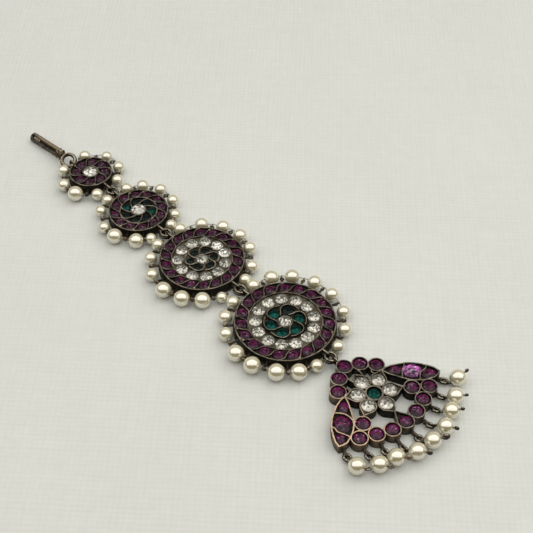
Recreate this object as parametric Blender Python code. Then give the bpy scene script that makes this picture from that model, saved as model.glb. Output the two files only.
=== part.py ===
"""Maang tikka: a forehead jewel that lies flat, with a hair hook, four round
stone-set discs hung with seed pearls, and a fan-shaped openwork pendant with
pearl drops.  Lengths in the tables are millimetres; +X runs from the hook to
the pendant along the chain, +Z is up and the backs lie on Z = 0."""
import math

import bmesh
import bpy
from mathutils import Matrix, Vector
from mathutils.geometry import delaunay_2d_cdt

for thing in list(bpy.data.objects):
    bpy.data.objects.remove(thing)

MM = 0.001

# ---------------------------------------------------------------- dimensions
CASE_HEIGHT = 3.3          # outer ribbon wall of a disc
BACK_PLATE = 1.0           # closed back under the stones
OUTER_WALL = 0.5           # thickness of the outer ribbon
CELL_WALL = 0.3            # thickness of the ribbon between two rings of stones
CELL_WALL_TOP = 3.15
STONE_TOP = 3.0
SEAT_GAP = 0.1             # a stone keeps this clear of its setting
WIRE_HEIGHT = 1.95         # the pearl wire, above the surface
PEARL_WIRE = 0.15          # its radius
STAPLE_WIRE = 0.22         # radius of the small eyelets
LOOP_WIRE = 0.3            # radius of the end loops
LINK_WIRE = 0.33           # radius of the jump rings between discs
LINK_RING = 1.5            # their centre-line radius
LINK_HEIGHT = 1.8

# centre x, centre y, radius
DISCS = {
    1: (-58.49, -1.65, 6.15),
    2: (-37.12, -1.24, 8.22),
    3: (-11.63, -0.02, 11.40),
    4: (18.84, 1.55, 13.00),
}
# rings of stones: name, slot, count, inner radius, outer radius, turn in degrees
STONE_RINGS = {
    1: [("purple_stones", "purple_glass", 8, 2.25, 5.50, 4.5)],
    2: [("purple_stones", "purple_glass", 12, 5.35, 7.58, 1.3),
        ("green_stones", "green_glass", 7, 2.25, 4.85, 0.0)],
    3: [("purple_stones", "purple_glass", 18, 8.35, 10.75, 2.0),
        ("clear_stones", "clear_glass", 11, 4.85, 7.85, 2.0),
        ("green_stones", "green_glass", 6, 1.85, 4.35, 2.3)],
    4: [("purple_stones", "purple_glass", 19, 9.75, 12.35, 5.4),
        ("clear_stones", "clear_glass", 13, 5.75, 9.25, 5.2),
        ("green_stones", "green_glass", 6, 2.15, 5.25, 6.3)],
}
CENTRE_STONE = {1: (1.75, 3.6), 2: (1.75, 3.55), 3: (1.35, 3.2), 4: (1.65, 3.35)}   # middle stone: radius, top
# pearls of each side, from the pendant end to the hook end:
# angle in degrees, diameter, distance of the pearl's centre outside the rim
PEARLS = {
    (1, "left"): [(31, 3.1, 1.9), (70, 3.1, 2.1), (111, 3.0, 2.3), (156, 3.2, 2.0)],
    (1, "right"): [(-25, 3.2, 2.5), (-66, 4.0, 2.7), (-101, 3.3, 2.3), (-143, 3.1, 2.0)],
    (2, "left"): [(21, 2.8, 2.0), (44, 3.0, 1.9), (76, 3.1, 2.2), (107, 3.2, 2.6),
                  (136, 3.25, 2.6), (161, 3.2, 2.2)],
    (2, "right"): [(-20, 2.8, 2.4), (-42, 3.85, 2.6), (-75, 3.9, 2.6), (-100, 3.0, 2.4),
                   (-136, 2.9, 2.3), (-161, 2.9, 2.1)],
    (3, "left"): [(17.5, 3.0, 1.9), (39, 3.3, 2.0), (68, 3.4, 2.1), (91, 3.5, 2.3),
                  (115, 3.5, 2.3), (140, 3.5, 2.2), (166, 3.4, 1.9)],
    (3, "right"): [(-19, 2.7, 2.5), (-40, 4.0, 2.6), (-62, 4.0, 2.8), (-85, 3.95, 2.8),
                   (-111, 3.3, 2.5), (-136, 3.2, 2.3), (-158, 3.1, 2.0)],
    (4, "left"): [(18, 3.1, 2.0), (40, 3.25, 2.1), (62, 3.25, 2.4), (86, 3.4, 2.6),
                  (108, 3.6, 2.9), (130, 3.75, 2.9), (150, 3.8, 2.7), (170, 3.4, 2.0)],
    (4, "right"): [(-13, 3.1, 2.4), (-31, 4.0, 2.8), (-51, 4.1, 2.8), (-74, 4.1, 2.8),
                   (-94, 4.0, 2.7), (-119, 3.4, 2.3), (-140, 3.4, 2.3), (-160, 3.2, 2.0)],
}

# hook: tip and collar ends of the hairpin (x, y, z), and the eye
HOOK_TIP = (-84.1, -4.15, 1.3)
HOOK_COLLAR = (-71.6, -3.3, 2.3)
HOOK_WIRE = 0.48
HOOK_ARMS = 1.6            # centre to centre
HOOK_EYE = (-67.3, -3.15, 2.3)
HOOK_EYE_RING = 1.9
HOOK_EYE_TILT = 25.0       # the eye leans back, away from the front pearls
HOOK_EYE_TURN = 46.0       # direction of the axis that it leans about
HOOK_EYE_WIRE = 0.4

# pendant, in its own axes: u points to the drops, v to the left wing
PENDANT = (46.86, 2.2, -1.85)      # x, y, turn in degrees
FRAME_HEIGHT = 2.85
FRAME_FLOOR = 1.1
CUP_WALL = 0.42
CUP = 2.1                  # outer radius of a round cup
GREEN_CUP = 2.2
FLOWER = (2.4, 0.0)
PETAL_REACH = 4.15         # flower centre to petal stone
PETAL_TIP = 7.3            # flower centre to the petal's point
PETALS = {"petal_stone_1": 180.0, "petal_stone_2": 121.5, "petal_stone_3": 64.0,
          "petal_stone_4": 0.0, "petal_stone_5": -64.0, "petal_stone_6": -121.5}
ARM_CUPS = [(-3.4, 6.4), (-6.15, 3.5), (-8.0, 0.0), (-6.15, -3.5), (-3.4, -6.4)]
RIM_CUPS = [(9.45, 11.6), (11.2, 7.75), (12.6, 3.97), (13.0, 0.0), (12.6, -3.97),
            (11.2, -7.75), (9.45, -11.6)]
INNER_CUPS = [(7.0, 8.15), (7.0, -8.15)]
RIM_NECKS = [(0, 1), (1, 2), (2, 3), (3, 4), (4, 5), (5, 6)]
CUP_POINT = (9.0, 0.0)     # the middle rim cup is drawn to a point here
WING = [(-1.5, 6.0), (0.5, 6.6), (2.8, 7.8), (5.3, 9.3), (7.3, 11.6), (8.6, 14.6),
        (8.1, 16.95), (5.6, 16.2), (3.1, 14.7), (0.9, 12.4), (-1.0, 8.9)]
WING_STONES = [(0.75, 8.9, 1.0), (3.4, 11.5, 1.6), (6.75, 14.35, 1.15)]
RIBS = [((-6.2, 3.1), (-2.6, 1.4)), ((-6.2, -3.1), (-2.6, -1.4)),
        ((5.2, 6.2), (6.6, 7.6)), ((5.2, -6.2), (6.6, -7.6))]
RIB_WIDTH = 0.5
# drops: point of the cup or wing and how far from it the eyelet is let in, then the middles of the
# jump ring, of the pearl and of the pin's curled end, and the size of that end
DROPS = [((7.1, 15.0), 1.23, (9.83, 16.49), (11.97, 18.98), (12.33, 21.13), 0.50),
         ((9.45, 11.6), 1.8, (12.71, 12.48), (15.41, 14.53), (17.09, 15.93), 0.42),
         ((11.2, 7.75), 1.8, (14.55, 8.83), (17.62, 10.68), (19.16, 12.10), 0.46),
         ((12.6, 3.97), 1.8, (16.64, 4.47), (19.83, 6.36), (22.07, 7.24), 0.52),
         ((13.0, 0.0), 1.8, (17.61, -0.15), (20.57, 1.27), (22.13, 3.46), 0.78),
         ((12.6, -3.97), 1.8, (17.03, -4.81), (20.34, -3.63), (22.73, -2.33), 0.62),
         ((11.2, -7.75), 1.8, (15.21, -8.78), (18.33, -8.40), (20.49, -7.03), 0.66),
         ((9.45, -11.6), 1.8, (13.67, -12.41), (17.19, -12.74), (19.68, -11.67), 0.60),
         ((7.0, -15.3), 1.23, (10.63, -16.45), (14.23, -16.95), (16.46, -16.25), 0.60)]
DROP_RING = 0.87           # centre-line radius of the drops' jump rings, which lie flat
DROP_RING_WIRE = 0.19
DROP_RING_HEIGHT = 0.75
DROP_EYELET_WIRE = 0.2
DROP_EYELET_HALF = 0.48
DROP_PEARL = 4.05
DROP_END_HEIGHT = 3.05
PIN_WIRE = 0.14
PIN_LOOP = 0.43

COLOURS = {
    "antique_metal": ((0.20, 0.165, 0.13, 1.0), 0.42, 1.0),
    "purple_glass": ((0.22, 0.02, 0.14, 1.0), 0.12, 0.0),
    "green_glass": ((0.005, 0.09, 0.07, 1.0), 0.12, 0.0),
    "clear_glass": ((0.80, 0.80, 0.78, 1.0), 0.08, 0.0),
    "pearl": ((0.86, 0.80, 0.68, 1.0), 0.22, 0.0),
}


# ---------------------------------------------------------------- helpers
def material(slot):
    found = bpy.data.materials.get(slot)
    if found:
        return found
    colour, rough, metallic = COLOURS[slot]
    made = bpy.data.materials.new(slot)
    made.use_nodes = True
    shader = made.node_tree.nodes["Principled BSDF"]
    shader.inputs["Base Color"].default_value = colour
    shader.inputs["Roughness"].default_value = rough
    shader.inputs["Metallic"].default_value = metallic
    return made


def empty(name, parent=None, location=(0, 0, 0), turn=0.0):
    made = bpy.data.objects.new(name, None)
    bpy.context.scene.collection.objects.link(made)
    made.parent = parent
    made.location = Vector(location) * MM
    made.rotation_euler = (0, 0, math.radians(turn))
    return made


def add(name, points, faces, slot, parent=None, location=(0, 0, 0), rotation=None, cutters=None, smooth=None):
    """A named object from points in millimetres; cutters collects a helper instead of a part."""
    mesh = bpy.data.meshes.new(name)
    mesh.from_pydata([Vector(p) * MM for p in points], [], faces)
    build = bmesh.new()
    build.from_mesh(mesh)
    bmesh.ops.recalc_face_normals(build, faces=build.faces)
    build.to_mesh(mesh)
    build.free()
    made = bpy.data.objects.new(name, mesh)
    mesh.materials.append(material(slot))
    made.parent = parent
    made.location = Vector(location) * MM
    if rotation is not None:
        made.rotation_euler = rotation
    if cutters is None:
        bpy.context.scene.collection.objects.link(made)
    else:
        cutters.objects.link(made)
        made.hide_render = True
        made.display_type = "WIRE"
    if smooth is not None:
        mesh.shade_smooth()
        mesh.set_sharp_from_angle(angle=math.radians(smooth))
    return made


def soldered(target, cutters):
    """Joins every object of the collection to the target."""
    step = target.modifiers.new("solder", "BOOLEAN")
    step.operation = "UNION"
    step.operand_type = "COLLECTION"
    step.collection = cutters


def helper_collection(name):
    made = bpy.data.collections.new(name)
    bpy.context.scene.collection.children.link(made)
    made.hide_render = True
    return made


def sweep(path, radii, sides, closed=False, start=Vector((0, 0, 1))):
    """A round wire along a path, whose radius follows the list; it gives points and faces."""
    path = [Vector(p) for p in path]
    count = len(path)
    tangents = []
    for i in range(count):
        if closed:
            step = path[(i + 1) % count] - path[i - 1]
        else:
            step = path[min(i + 1, count - 1)] - path[max(i - 1, 0)]
        tangents.append(step.normalized())
    side = start - tangents[0] * start.dot(tangents[0])
    side.normalize()
    points = []
    for i in range(count):
        if i:
            side = tangents[i - 1].rotation_difference(tangents[i]) @ side
            side = (side - tangents[i] * side.dot(tangents[i])).normalized()
        across = tangents[i].cross(side)
        for k in range(sides):
            angle = 2 * math.pi * (k + 0.5) / sides
            points.append(path[i] + (side * math.cos(angle) + across * math.sin(angle)) * radii[i])
    faces = []
    for i in range(count if closed else count - 1):
        j = (i + 1) % count
        for k in range(sides):
            m = (k + 1) % sides
            faces.append((i * sides + k, i * sides + m, j * sides + m, j * sides + k))
    if not closed:
        faces.append(tuple(range(sides)))
        faces.append(tuple((count - 1) * sides + k for k in range(sides)))
    return points, faces


def ring(radius, wire, around, sides, matrix=None):
    """A closed ring of round wire, flat in XY before the matrix turns it."""
    matrix = matrix or Matrix.Identity(4)
    path = [matrix @ Vector((radius * math.cos(2 * math.pi * i / around), radius * math.sin(2 * math.pi * i / around), 0))
            for i in range(around)]
    axis = matrix.to_3x3() @ Vector((0, 0, 1))
    return sweep(path, [wire] * around, sides, closed=True, start=axis)


def lathe(profile, around):
    """A closed profile of (radius, height) pairs turned about Z; a radius of 0 is a point on the axis."""
    points, index = [], []
    for radius, height in profile:
        if radius == 0:
            index.append([len(points)] * around)
            points.append((0, 0, height))
        else:
            index.append(list(range(len(points), len(points) + around)))
            for k in range(around):
                angle = 2 * math.pi * k / around
                points.append((radius * math.cos(angle), radius * math.sin(angle), height))
    faces = []
    for row, after in zip(index, index[1:]):
        for k in range(around):
            m = (k + 1) % around
            corners = [row[k], row[m], after[m], after[k]]
            kept = [c for i, c in enumerate(corners) if c not in corners[:i]]
            if len(kept) > 2:
                faces.append(tuple(kept))
    return points, faces


def disc_case(number):
    """Closed back, outer ribbon and the ribbons between the rings of stones, as one turned profile."""
    radius = DISCS[number][2]
    profile = [(0, 0), (radius, 0), (radius, CASE_HEIGHT), (radius - OUTER_WALL, CASE_HEIGHT), (radius - OUTER_WALL, BACK_PLATE)]
    for _, _, _, inner, _, _ in STONE_RINGS[number]:
        outside = inner - SEAT_GAP
        inside = outside - CELL_WALL
        profile += [(outside, BACK_PLATE), (outside, CELL_WALL_TOP), (inside, CELL_WALL_TOP), (inside, BACK_PLATE)]
    profile += [(0, BACK_PLATE)]
    return lathe(profile, {1: 24, 2: 28, 3: 32, 4: 34}[number])


def stone_ring(count, inner, outer, turn):
    """A paved ring of stones as one solid, with a crest for each stone and a valley between two."""
    points, faces = [], []
    bottom = BACK_PLATE + SEAT_GAP
    share = 4 if count < 9 else 2
    steps = count * share
    for i in range(steps):
        angle = math.radians(turn) + 2 * math.pi * i / steps
        top = STONE_TOP - 0.6 * (1 - math.cos(2 * math.pi * i / share)) / 2
        for radius, height in ((inner, bottom), (inner + 0.3, top), (outer - 0.3, top), (outer, bottom)):
            points.append((radius * math.cos(angle), radius * math.sin(angle), height))
    for i in range(steps):
        j = (i + 1) % steps
        for k in range(4):
            m = (k + 1) % 4
            faces.append((i * 4 + k, i * 4 + m, j * 4 + m, j * 4 + k))
    return points, faces


def polar(radius, angle, height=0.0):
    return Vector((radius * math.cos(math.radians(angle)), radius * math.sin(math.radians(angle)), height))


def staple(angle, inside, reach, half, wire, height, sides=4):
    """A wire loop that stands out from a case: both ends are let into its wall."""
    corner = min(half * 0.8, 0.4)
    stations = [(inside, half), (reach - corner, half), (reach, half * 0.45), (reach, -half * 0.45), (reach - corner, -half), (inside, -half)]
    path = [polar(r, angle, height + z) for r, z in stations]
    return sweep(path, [wire] * len(path), sides, start=polar(1, angle + 90))


def pearl_string(number, side):
    """One side's pearls on their wire; it also gives where the wire crosses between two pearls."""
    radius = DISCS[number][2]
    rows = PEARLS[(number, side)]
    centres = [polar(radius + out, angle, WIRE_HEIGHT) for angle, _, out in rows]
    sign = 1 if side == "left" else -1
    lead = polar(radius + rows[0][2] - 0.2, rows[0][0] - sign * math.degrees((rows[0][1] / 2 + 0.35) / (radius + 2.2)), WIRE_HEIGHT)
    tail = polar(radius + rows[-1][2] - 0.2, rows[-1][0] + sign * math.degrees((rows[-1][1] / 2 + 0.35) / (radius + 2.2)), WIRE_HEIGHT)
    stops = [lead] + centres + [tail]
    path, radii, mouths = [lead], [PEARL_WIRE], []
    for i, (centre, row) in enumerate(zip(centres, rows)):
        ball = row[1] / 2
        along = (stops[i + 2] - stops[i]).normalized()
        bore = math.sqrt(ball ** 2 - (PEARL_WIRE * 1.6) ** 2)
        for share in (-1, -0.68, 0, 0.68, 1):
            at = bore * share
            path.append(centre + along * at)
            radii.append(PEARL_WIRE if abs(share) == 1 else math.sqrt(ball ** 2 - at ** 2))
        mouths.append((centre - along * bore, centre + along * bore))
    path.append(tail)
    radii.append(PEARL_WIRE)
    crossings = [(mouths[i][1] + mouths[i + 1][0]) / 2 for i in range(len(rows) - 1)]
    return sweep(path, radii, 8), crossings


# 2D outlines for the pendant
def circle(centre, radius, count=10, turn=0.0):
    return [(centre[0] + radius * math.cos(turn + 2 * math.pi * k / count), centre[1] + radius * math.sin(turn + 2 * math.pi * k / count)) for k in range(count)]


def drop_outline(centre, radius, tip, count=10):
    """A circle drawn out to a point at the tip."""
    away = Vector((tip[0] - centre[0], tip[1] - centre[1]))
    reach, heading = away.length, math.atan2(away.y, away.x)
    open_by = math.acos(min(0.98, radius / reach))
    points = [tuple(tip)]
    for k in range(count):
        angle = heading + open_by + (2 * math.pi - 2 * open_by) * k / (count - 1)
        points.append((centre[0] + radius * math.cos(angle), centre[1] + radius * math.sin(angle)))
    return points


def band(start, end, width):
    a, b = Vector(start), Vector(end)
    along = (b - a).normalized()
    aside = Vector((-along.y, along.x)) * width / 2
    return [tuple(a + aside), tuple(a - aside), tuple(b - aside), tuple(b + aside)]


def inset(outline, distance):
    """The outline moved inwards by a distance; it works for convex and nearly convex outlines."""
    area = sum(a[0] * b[1] - b[0] * a[1] for a, b in zip(outline, outline[1:] + outline[:1]))
    sign = 1 if area > 0 else -1
    count = len(outline)
    moved = []
    for i in range(count):
        before, here, after = (Vector(outline[(i + k) % count]) for k in (-1, 0, 1))
        one = (here - before).normalized()
        two = (after - here).normalized()
        normal = Vector((-(one + two).y, (one + two).x)).normalized() * sign
        first = Vector((-one.y, one.x)) * sign
        moved.append(tuple(here + normal * distance / max(0.5, normal.dot(first))))
    return moved


def mirrored(outline):
    return [(u, -v) for u, v in reversed(outline)]


def relief(layers, bands):
    """A solid from overlapping outlines.  Each layer is (kind, outline); bands is a list of
    (low, high, test), where test says from the set of kinds at a spot whether that band is filled."""
    verts, loops = [], []
    for _, outline in layers:
        loops.append(list(range(len(verts), len(verts) + len(outline))))
        verts += [Vector(p) for p in outline]
    spots, _, tiles, _, _, owners = delaunay_2d_cdt(verts, [], loops, 0, 1e-5)
    filled = []
    for owner in owners:
        kinds = {layers[i][0] for i in owner}
        filled.append(tuple(test(kinds) for _, _, test in bands))
    levels = [bands[0][0]] + [high for _, high, _ in bands]
    across = {}
    for number, tile in enumerate(tiles):
        for a, b in zip(tile, list(tile[1:]) + [tile[0]]):
            across[(a, b)] = number
    points, index, faces = [], {}, []

    def at(spot, level):
        if (spot, level) not in index:
            index[(spot, level)] = len(points)
            points.append((spots[spot][0], spots[spot][1], levels[level]))
        return index[(spot, level)]

    for number, tile in enumerate(tiles):
        mine = filled[number]
        for level in range(len(levels)):
            below = mine[level - 1] if level else False
            above = mine[level] if level < len(bands) else False
            if below and not above:
                faces.append(tuple(at(s, level) for s in tile))
            if above and not below:
                faces.append(tuple(at(s, level) for s in reversed(tile)))
        for a, b in zip(tile, list(tile[1:]) + [tile[0]]):
            other = across.get((b, a))
            theirs = filled[other] if other is not None else (False,) * len(bands)
            for level in range(len(bands)):
                if mine[level] and not theirs[level]:
                    faces.append((at(a, level), at(b, level), at(b, level + 1), at(a, level + 1)))
    return points, faces


def faceted_stone(outline, bottom, shoulder, top, table=0.55):
    """A stone with upright sides, a sloping crown and a flat table."""
    count = len(outline)
    middle = (sum(p[0] for p in outline) / count, sum(p[1] for p in outline) / count)
    points = [(u, v, bottom) for u, v in outline] + [(u, v, shoulder) for u, v in outline]
    points += [(middle[0] + (u - middle[0]) * table, middle[1] + (v - middle[1]) * table, top) for u, v in outline]
    faces = [tuple(reversed(range(count))), tuple(range(2 * count, 3 * count))]
    for level in (0, 1):
        for k in range(count):
            m = (k + 1) % count
            faces.append((level * count + k, level * count + m, (level + 1) * count + m, (level + 1) * count + k))
    return points, faces


# ---------------------------------------------------------------- layout
layout = empty("layout")

# ---------------------------------------------------------------- hook
tip, collar = Vector(HOOK_TIP), Vector(HOOK_COLLAR)
along = (collar - tip).normalized()
flat = along.cross(Vector((0, 0, 1))).normalized()
rise = flat.cross(along).normalized()
lean = math.radians(40)
aside = flat * math.cos(lean) - rise * math.sin(lean)      # towards the front arm, which is the lower
bend = HOOK_ARMS / 2
hairpin = [collar - aside * bend, collar.lerp(tip, 0.5) - aside * bend * 1.02, tip + along * bend - aside * bend]
for turn in (-45, 0, 45):
    hairpin.append(tip + along * bend - along * bend * math.cos(math.radians(turn)) + aside * bend * math.sin(math.radians(turn)))
hairpin += [tip + along * bend + aside * bend, collar.lerp(tip, 0.5) + aside * bend * 1.02, collar + aside * bend]
points, faces = sweep(hairpin, [HOOK_WIRE] * len(hairpin), 8, start=aside.cross(along))
hook = add("hook", points, faces, "antique_metal", layout, smooth=50)
hook_helpers = helper_collection("hook_soldered")
collar_ring = []
for share, grow in ((-0.55, 0.85), (-0.4, 1.0), (1.3, 1.0), (1.45, 0.85)):
    for k in range(10):
        angle = 2 * math.pi * k / 10
        collar_ring.append(collar + along * (share) + (aside * math.cos(angle) * 1.42 + aside.cross(along) * math.sin(angle) * 0.78) * grow)
collar_faces = [tuple(range(10)), tuple(range(30, 40))]
for level in range(3):
    for k in range(10):
        m = (k + 1) % 10
        collar_faces.append((level * 10 + k, level * 10 + m, level * 10 + 10 + m, level * 10 + 10 + k))
add("hook_collar_helper", collar_ring, collar_faces, "antique_metal", layout, cutters=hook_helpers)
lean_about = polar(1, HOOK_EYE_TURN)
eye_matrix = Matrix.Translation(Vector(HOOK_EYE)) @ Matrix.Rotation(math.radians(HOOK_EYE_TILT), 4, lean_about)
points, faces = ring(HOOK_EYE_RING, HOOK_EYE_WIRE, 16, 8, eye_matrix)
add("hook_eye_helper", points, faces, "antique_metal", layout, cutters=hook_helpers)
eye_side = eye_matrix @ (polar(HOOK_EYE_RING, 180))
points, faces = sweep([collar + along * 0.6, collar + along * 1.5, eye_side], [0.62, 0.55, 0.42], 8, start=aside)
add("hook_neck_helper", points, faces, "antique_metal", layout, cutters=hook_helpers)
soldered(hook, hook_helpers)

# ---------------------------------------------------------------- discs and links
pendant_turn = math.radians(PENDANT[2])
pendant_matrix = Matrix.Translation(Vector((PENDANT[0], PENDANT[1], 0))) @ Matrix.Rotation(pendant_turn, 4, "Z")
pendant_edge = pendant_matrix @ Vector((ARM_CUPS[2][0] - CUP, 0, 0))


def bearing(start, end):
    return math.degrees(math.atan2(end[1] - start[1], end[0] - start[0]))


seats, loops = {}, {number: [] for number in DISCS}
links = {}
for number, (x, y, radius) in DISCS.items():
    seats[number] = empty(f"disc_{number}_seat", layout, (x, y, 0))
for number in (1, 2, 3):
    here, there = DISCS[number], DISCS[number + 1]
    heading = bearing(here, there)
    gap = math.dist(here[:2], there[:2]) - here[2] - there[2]
    reach = gap / 2 - 0.73
    loops[number].append((heading, here[2] + reach))
    loops[number + 1].append((heading + 180, there[2] + reach))
    links[f"link_{number}_{number + 1}"] = Vector((here[0], here[1], LINK_HEIGHT)) + polar(here[2] + gap / 2, heading)
heading = bearing(DISCS[4], pendant_edge)
gap = math.dist(DISCS[4][:2], pendant_edge[:2]) - DISCS[4][2]
loops[4].append((heading, DISCS[4][2] + gap / 2 - 0.73))
links["link_4_pendant"] = Vector((DISCS[4][0], DISCS[4][1], LINK_HEIGHT)) + polar(DISCS[4][2] + gap / 2, heading)
pendant_loop_reach = gap / 2 - 0.73
loops[1].append((bearing(DISCS[1], HOOK_EYE), DISCS[1][2] + 2.0))

for number, (x, y, radius) in DISCS.items():
    seat = seats[number]
    points, faces = disc_case(number)
    case = add(f"disc_{number}_case", points, faces, "antique_metal", seat, smooth=40)
    eyelets = helper_collection(f"disc_{number}_soldered")
    for side in ("left", "right"):
        (points, faces), crossings = pearl_string(number, side)
        add(f"disc_{number}_pearls_{side}", points, faces, "pearl", seat, smooth=60)
        for k, spot in enumerate(crossings):
            angle = math.degrees(math.atan2(spot.y, spot.x))
            distance = math.hypot(spot.x, spot.y)
            points, faces = staple(angle, radius - 0.25, distance + 0.5, 0.48, STAPLE_WIRE, WIRE_HEIGHT)
            add(f"disc_{number}_eyelet_{side}_{k}", points, faces, "antique_metal", seat, cutters=eyelets)
    for k, (angle, reach) in enumerate(loops[number]):
        points, faces = staple(angle, radius - 0.25, reach, 0.86, LOOP_WIRE, LINK_HEIGHT, sides=6)
        add(f"disc_{number}_loop_{k}", points, faces, "antique_metal", seat, cutters=eyelets)
    soldered(case, eyelets)
    for name, slot, count, inner, outer, turn in STONE_RINGS[number]:
        points, faces = stone_ring(count, inner, outer, turn)
        add(f"disc_{number}_{name}", points, faces, slot, seat, smooth=20)
    size, top = CENTRE_STONE[number]
    points, faces = faceted_stone(circle((0, 0), size, 12), BACK_PLATE + SEAT_GAP, top - 0.7, top)
    add(f"disc_{number}_centre_stone", points, faces, "clear_glass", seat, smooth=20)

for name, spot in links.items():
    points, faces = ring(LINK_RING, LINK_WIRE, 12, 6)
    add(name, points, faces, "antique_metal", layout, location=spot, smooth=60)

# ---------------------------------------------------------------- pendant
pendant = empty("pendant_seat", layout, (PENDANT[0], PENDANT[1], 0), PENDANT[2])


def cell_of(outline):
    return inset(outline, CUP_WALL)


def petal(name_angle, outside=True):
    centre = tuple(Vector(FLOWER) + polar(PETAL_REACH, name_angle).xy)
    end = tuple(Vector(FLOWER) + polar(PETAL_TIP, name_angle).xy)
    return centre, end


frame_layers = []
for outline in [circle(c, CUP, 10) for c in ARM_CUPS + RIM_CUPS[:3] + RIM_CUPS[4:] + INNER_CUPS]:
    frame_layers.append(("wall", outline))
    frame_layers.append(("cell", cell_of(outline)))
middle_cup = drop_outline(RIM_CUPS[3], CUP, CUP_POINT, 11)
frame_layers += [("wall", middle_cup), ("cell", cell_of(middle_cup))]
frame_layers += [("wall", circle(FLOWER, GREEN_CUP, 14)), ("cell", circle(FLOWER, GREEN_CUP - CUP_WALL, 14))]
for angle in PETALS.values():
    centre, end = petal(angle)
    outline = drop_outline(centre, CUP, end, 10)
    frame_layers += [("wall", outline), ("cell", cell_of(outline))]
for wing in (WING, mirrored(WING)):
    frame_layers += [("wall", wing), ("cell", cell_of(wing))]
for start, end in RIBS:
    frame_layers.append(("rib", band(start, end, RIB_WIDTH)))
# channels in which neighbouring stones of one paved solid join
necks = [(ARM_CUPS[k], ARM_CUPS[k + 1]) for k in range(4)]
necks += [(RIM_CUPS[a], RIM_CUPS[b]) for a, b in RIM_NECKS]
necks += [(INNER_CUPS[0], RIM_CUPS[1]), (INNER_CUPS[1], RIM_CUPS[5])]
for start, end in necks:
    frame_layers.append(("cell", band(start, end, 0.9)))

def wall_or_cell(kinds):
    return bool(kinds & {"wall", "cell", "rib"})


def upper_wall(kinds):
    return bool(kinds & {"wall", "rib"}) and "cell" not in kinds


points, faces = relief(frame_layers, [(0, FRAME_FLOOR, wall_or_cell), (FRAME_FLOOR, FRAME_HEIGHT, upper_wall)])
frame = add("pendant_frame", points, faces, "antique_metal", pendant)
pendant_helpers = helper_collection("pendant_soldered")
for number, (carrier, root, held, _, _, _) in enumerate(DROPS, start=1):
    away = (Vector(held) - Vector(carrier)).normalized()
    reach = (Vector(held) - Vector(carrier)).length - DROP_RING + DROP_EYELET_HALF
    stations = [(root, 0.48), (reach - 0.36, 0.48), (reach, 0.2), (reach, -0.2), (reach - 0.36, -0.48), (root, -0.48)]
    path = [Vector((carrier[0] + away.x * out, carrier[1] + away.y * out, DROP_RING_HEIGHT + z)) for out, z in stations]
    points, faces = sweep(path, [DROP_EYELET_WIRE] * 6, 6, start=Vector((-away.y, away.x, 0)))
    add(f"pendant_eyelet_{number}", points, faces, "antique_metal", pendant, cutters=pendant_helpers)
start = ARM_CUPS[2][0] - CUP
loop_path = [(start + 0.25, 0.86), (start - pendant_loop_reach + 0.4, 0.86), (start - pendant_loop_reach, 0.39),
             (start - pendant_loop_reach, -0.39), (start - pendant_loop_reach + 0.4, -0.86), (start + 0.25, -0.86)]
points, faces = sweep([Vector((u, 0, LINK_HEIGHT + z)) for u, z in loop_path], [LOOP_WIRE] * 6, 6, start=Vector((0, 1, 0)))
add("pendant_loop", points, faces, "antique_metal", pendant, cutters=pendant_helpers)
soldered(frame, pendant_helpers)

# stones of the pendant
seat_height = FRAME_FLOOR + SEAT_GAP
stone = CUP * math.cos(math.pi / 10) - CUP_WALL - SEAT_GAP
points, faces = faceted_stone(circle(FLOWER, GREEN_CUP - CUP_WALL - SEAT_GAP - 0.02, 14), seat_height, 2.2, 2.7)
add("pendant_centre_stone", points, faces, "green_glass", pendant, smooth=20)
for name, angle in PETALS.items():
    centre, end = petal(angle)
    outline = inset(drop_outline(centre, CUP, end, 10), CUP_WALL + SEAT_GAP)
    if name == "petal_stone_4":
        outline = [(min(u, CUP_POINT[0] - 1.2), v) for u, v in outline]
    points, faces = faceted_stone(outline, seat_height, 2.1, 2.7)
    add(name, points, faces, "clear_glass", pendant, smooth=20)


def paved(name, spots, joins, extra=()):
    """Several purple stones as one solid, joined by low necks through their channels."""
    layers = [("stone", circle(spot, stone, 8, math.pi / 8)) for spot in spots]
    layers += [("crown", circle(spot, stone * 0.62, 6)) for spot in spots]
    layers += [("neck", band(a, b, 0.65)) for a, b in joins] + list(extra)
    points, faces = relief(layers, [(seat_height, 1.75, lambda kinds: bool(kinds & {"stone", "neck", "crown"})),
                                    (1.75, 2.25, lambda kinds: bool(kinds & {"stone", "crown"})),
                                    (2.25, 2.65, lambda kinds: "crown" in kinds)])
    add(name, points, faces, "purple_glass", pendant)


paved("arm_stones", ARM_CUPS, necks[:4])
paved("rim_stones", RIM_CUPS + INNER_CUPS, necks[4:])
for name, flip in (("wing_stones_left", 1), ("wing_stones_right", -1)):
    outline = inset(WING, CUP_WALL + SEAT_GAP)
    layers = [("stone", outline)] + [("crown", circle((u, v), size, 10)) for u, v, size in WING_STONES]
    if flip < 0:
        layers = [(kind, mirrored(shape)) for kind, shape in layers]
    points, faces = relief(layers, [(seat_height, 2.2, lambda kinds: "stone" in kinds),
                                    (2.2, 2.65, lambda kinds: "crown" in kinds and "stone" in kinds)])
    add(name, points, faces, "purple_glass", pendant)

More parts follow.
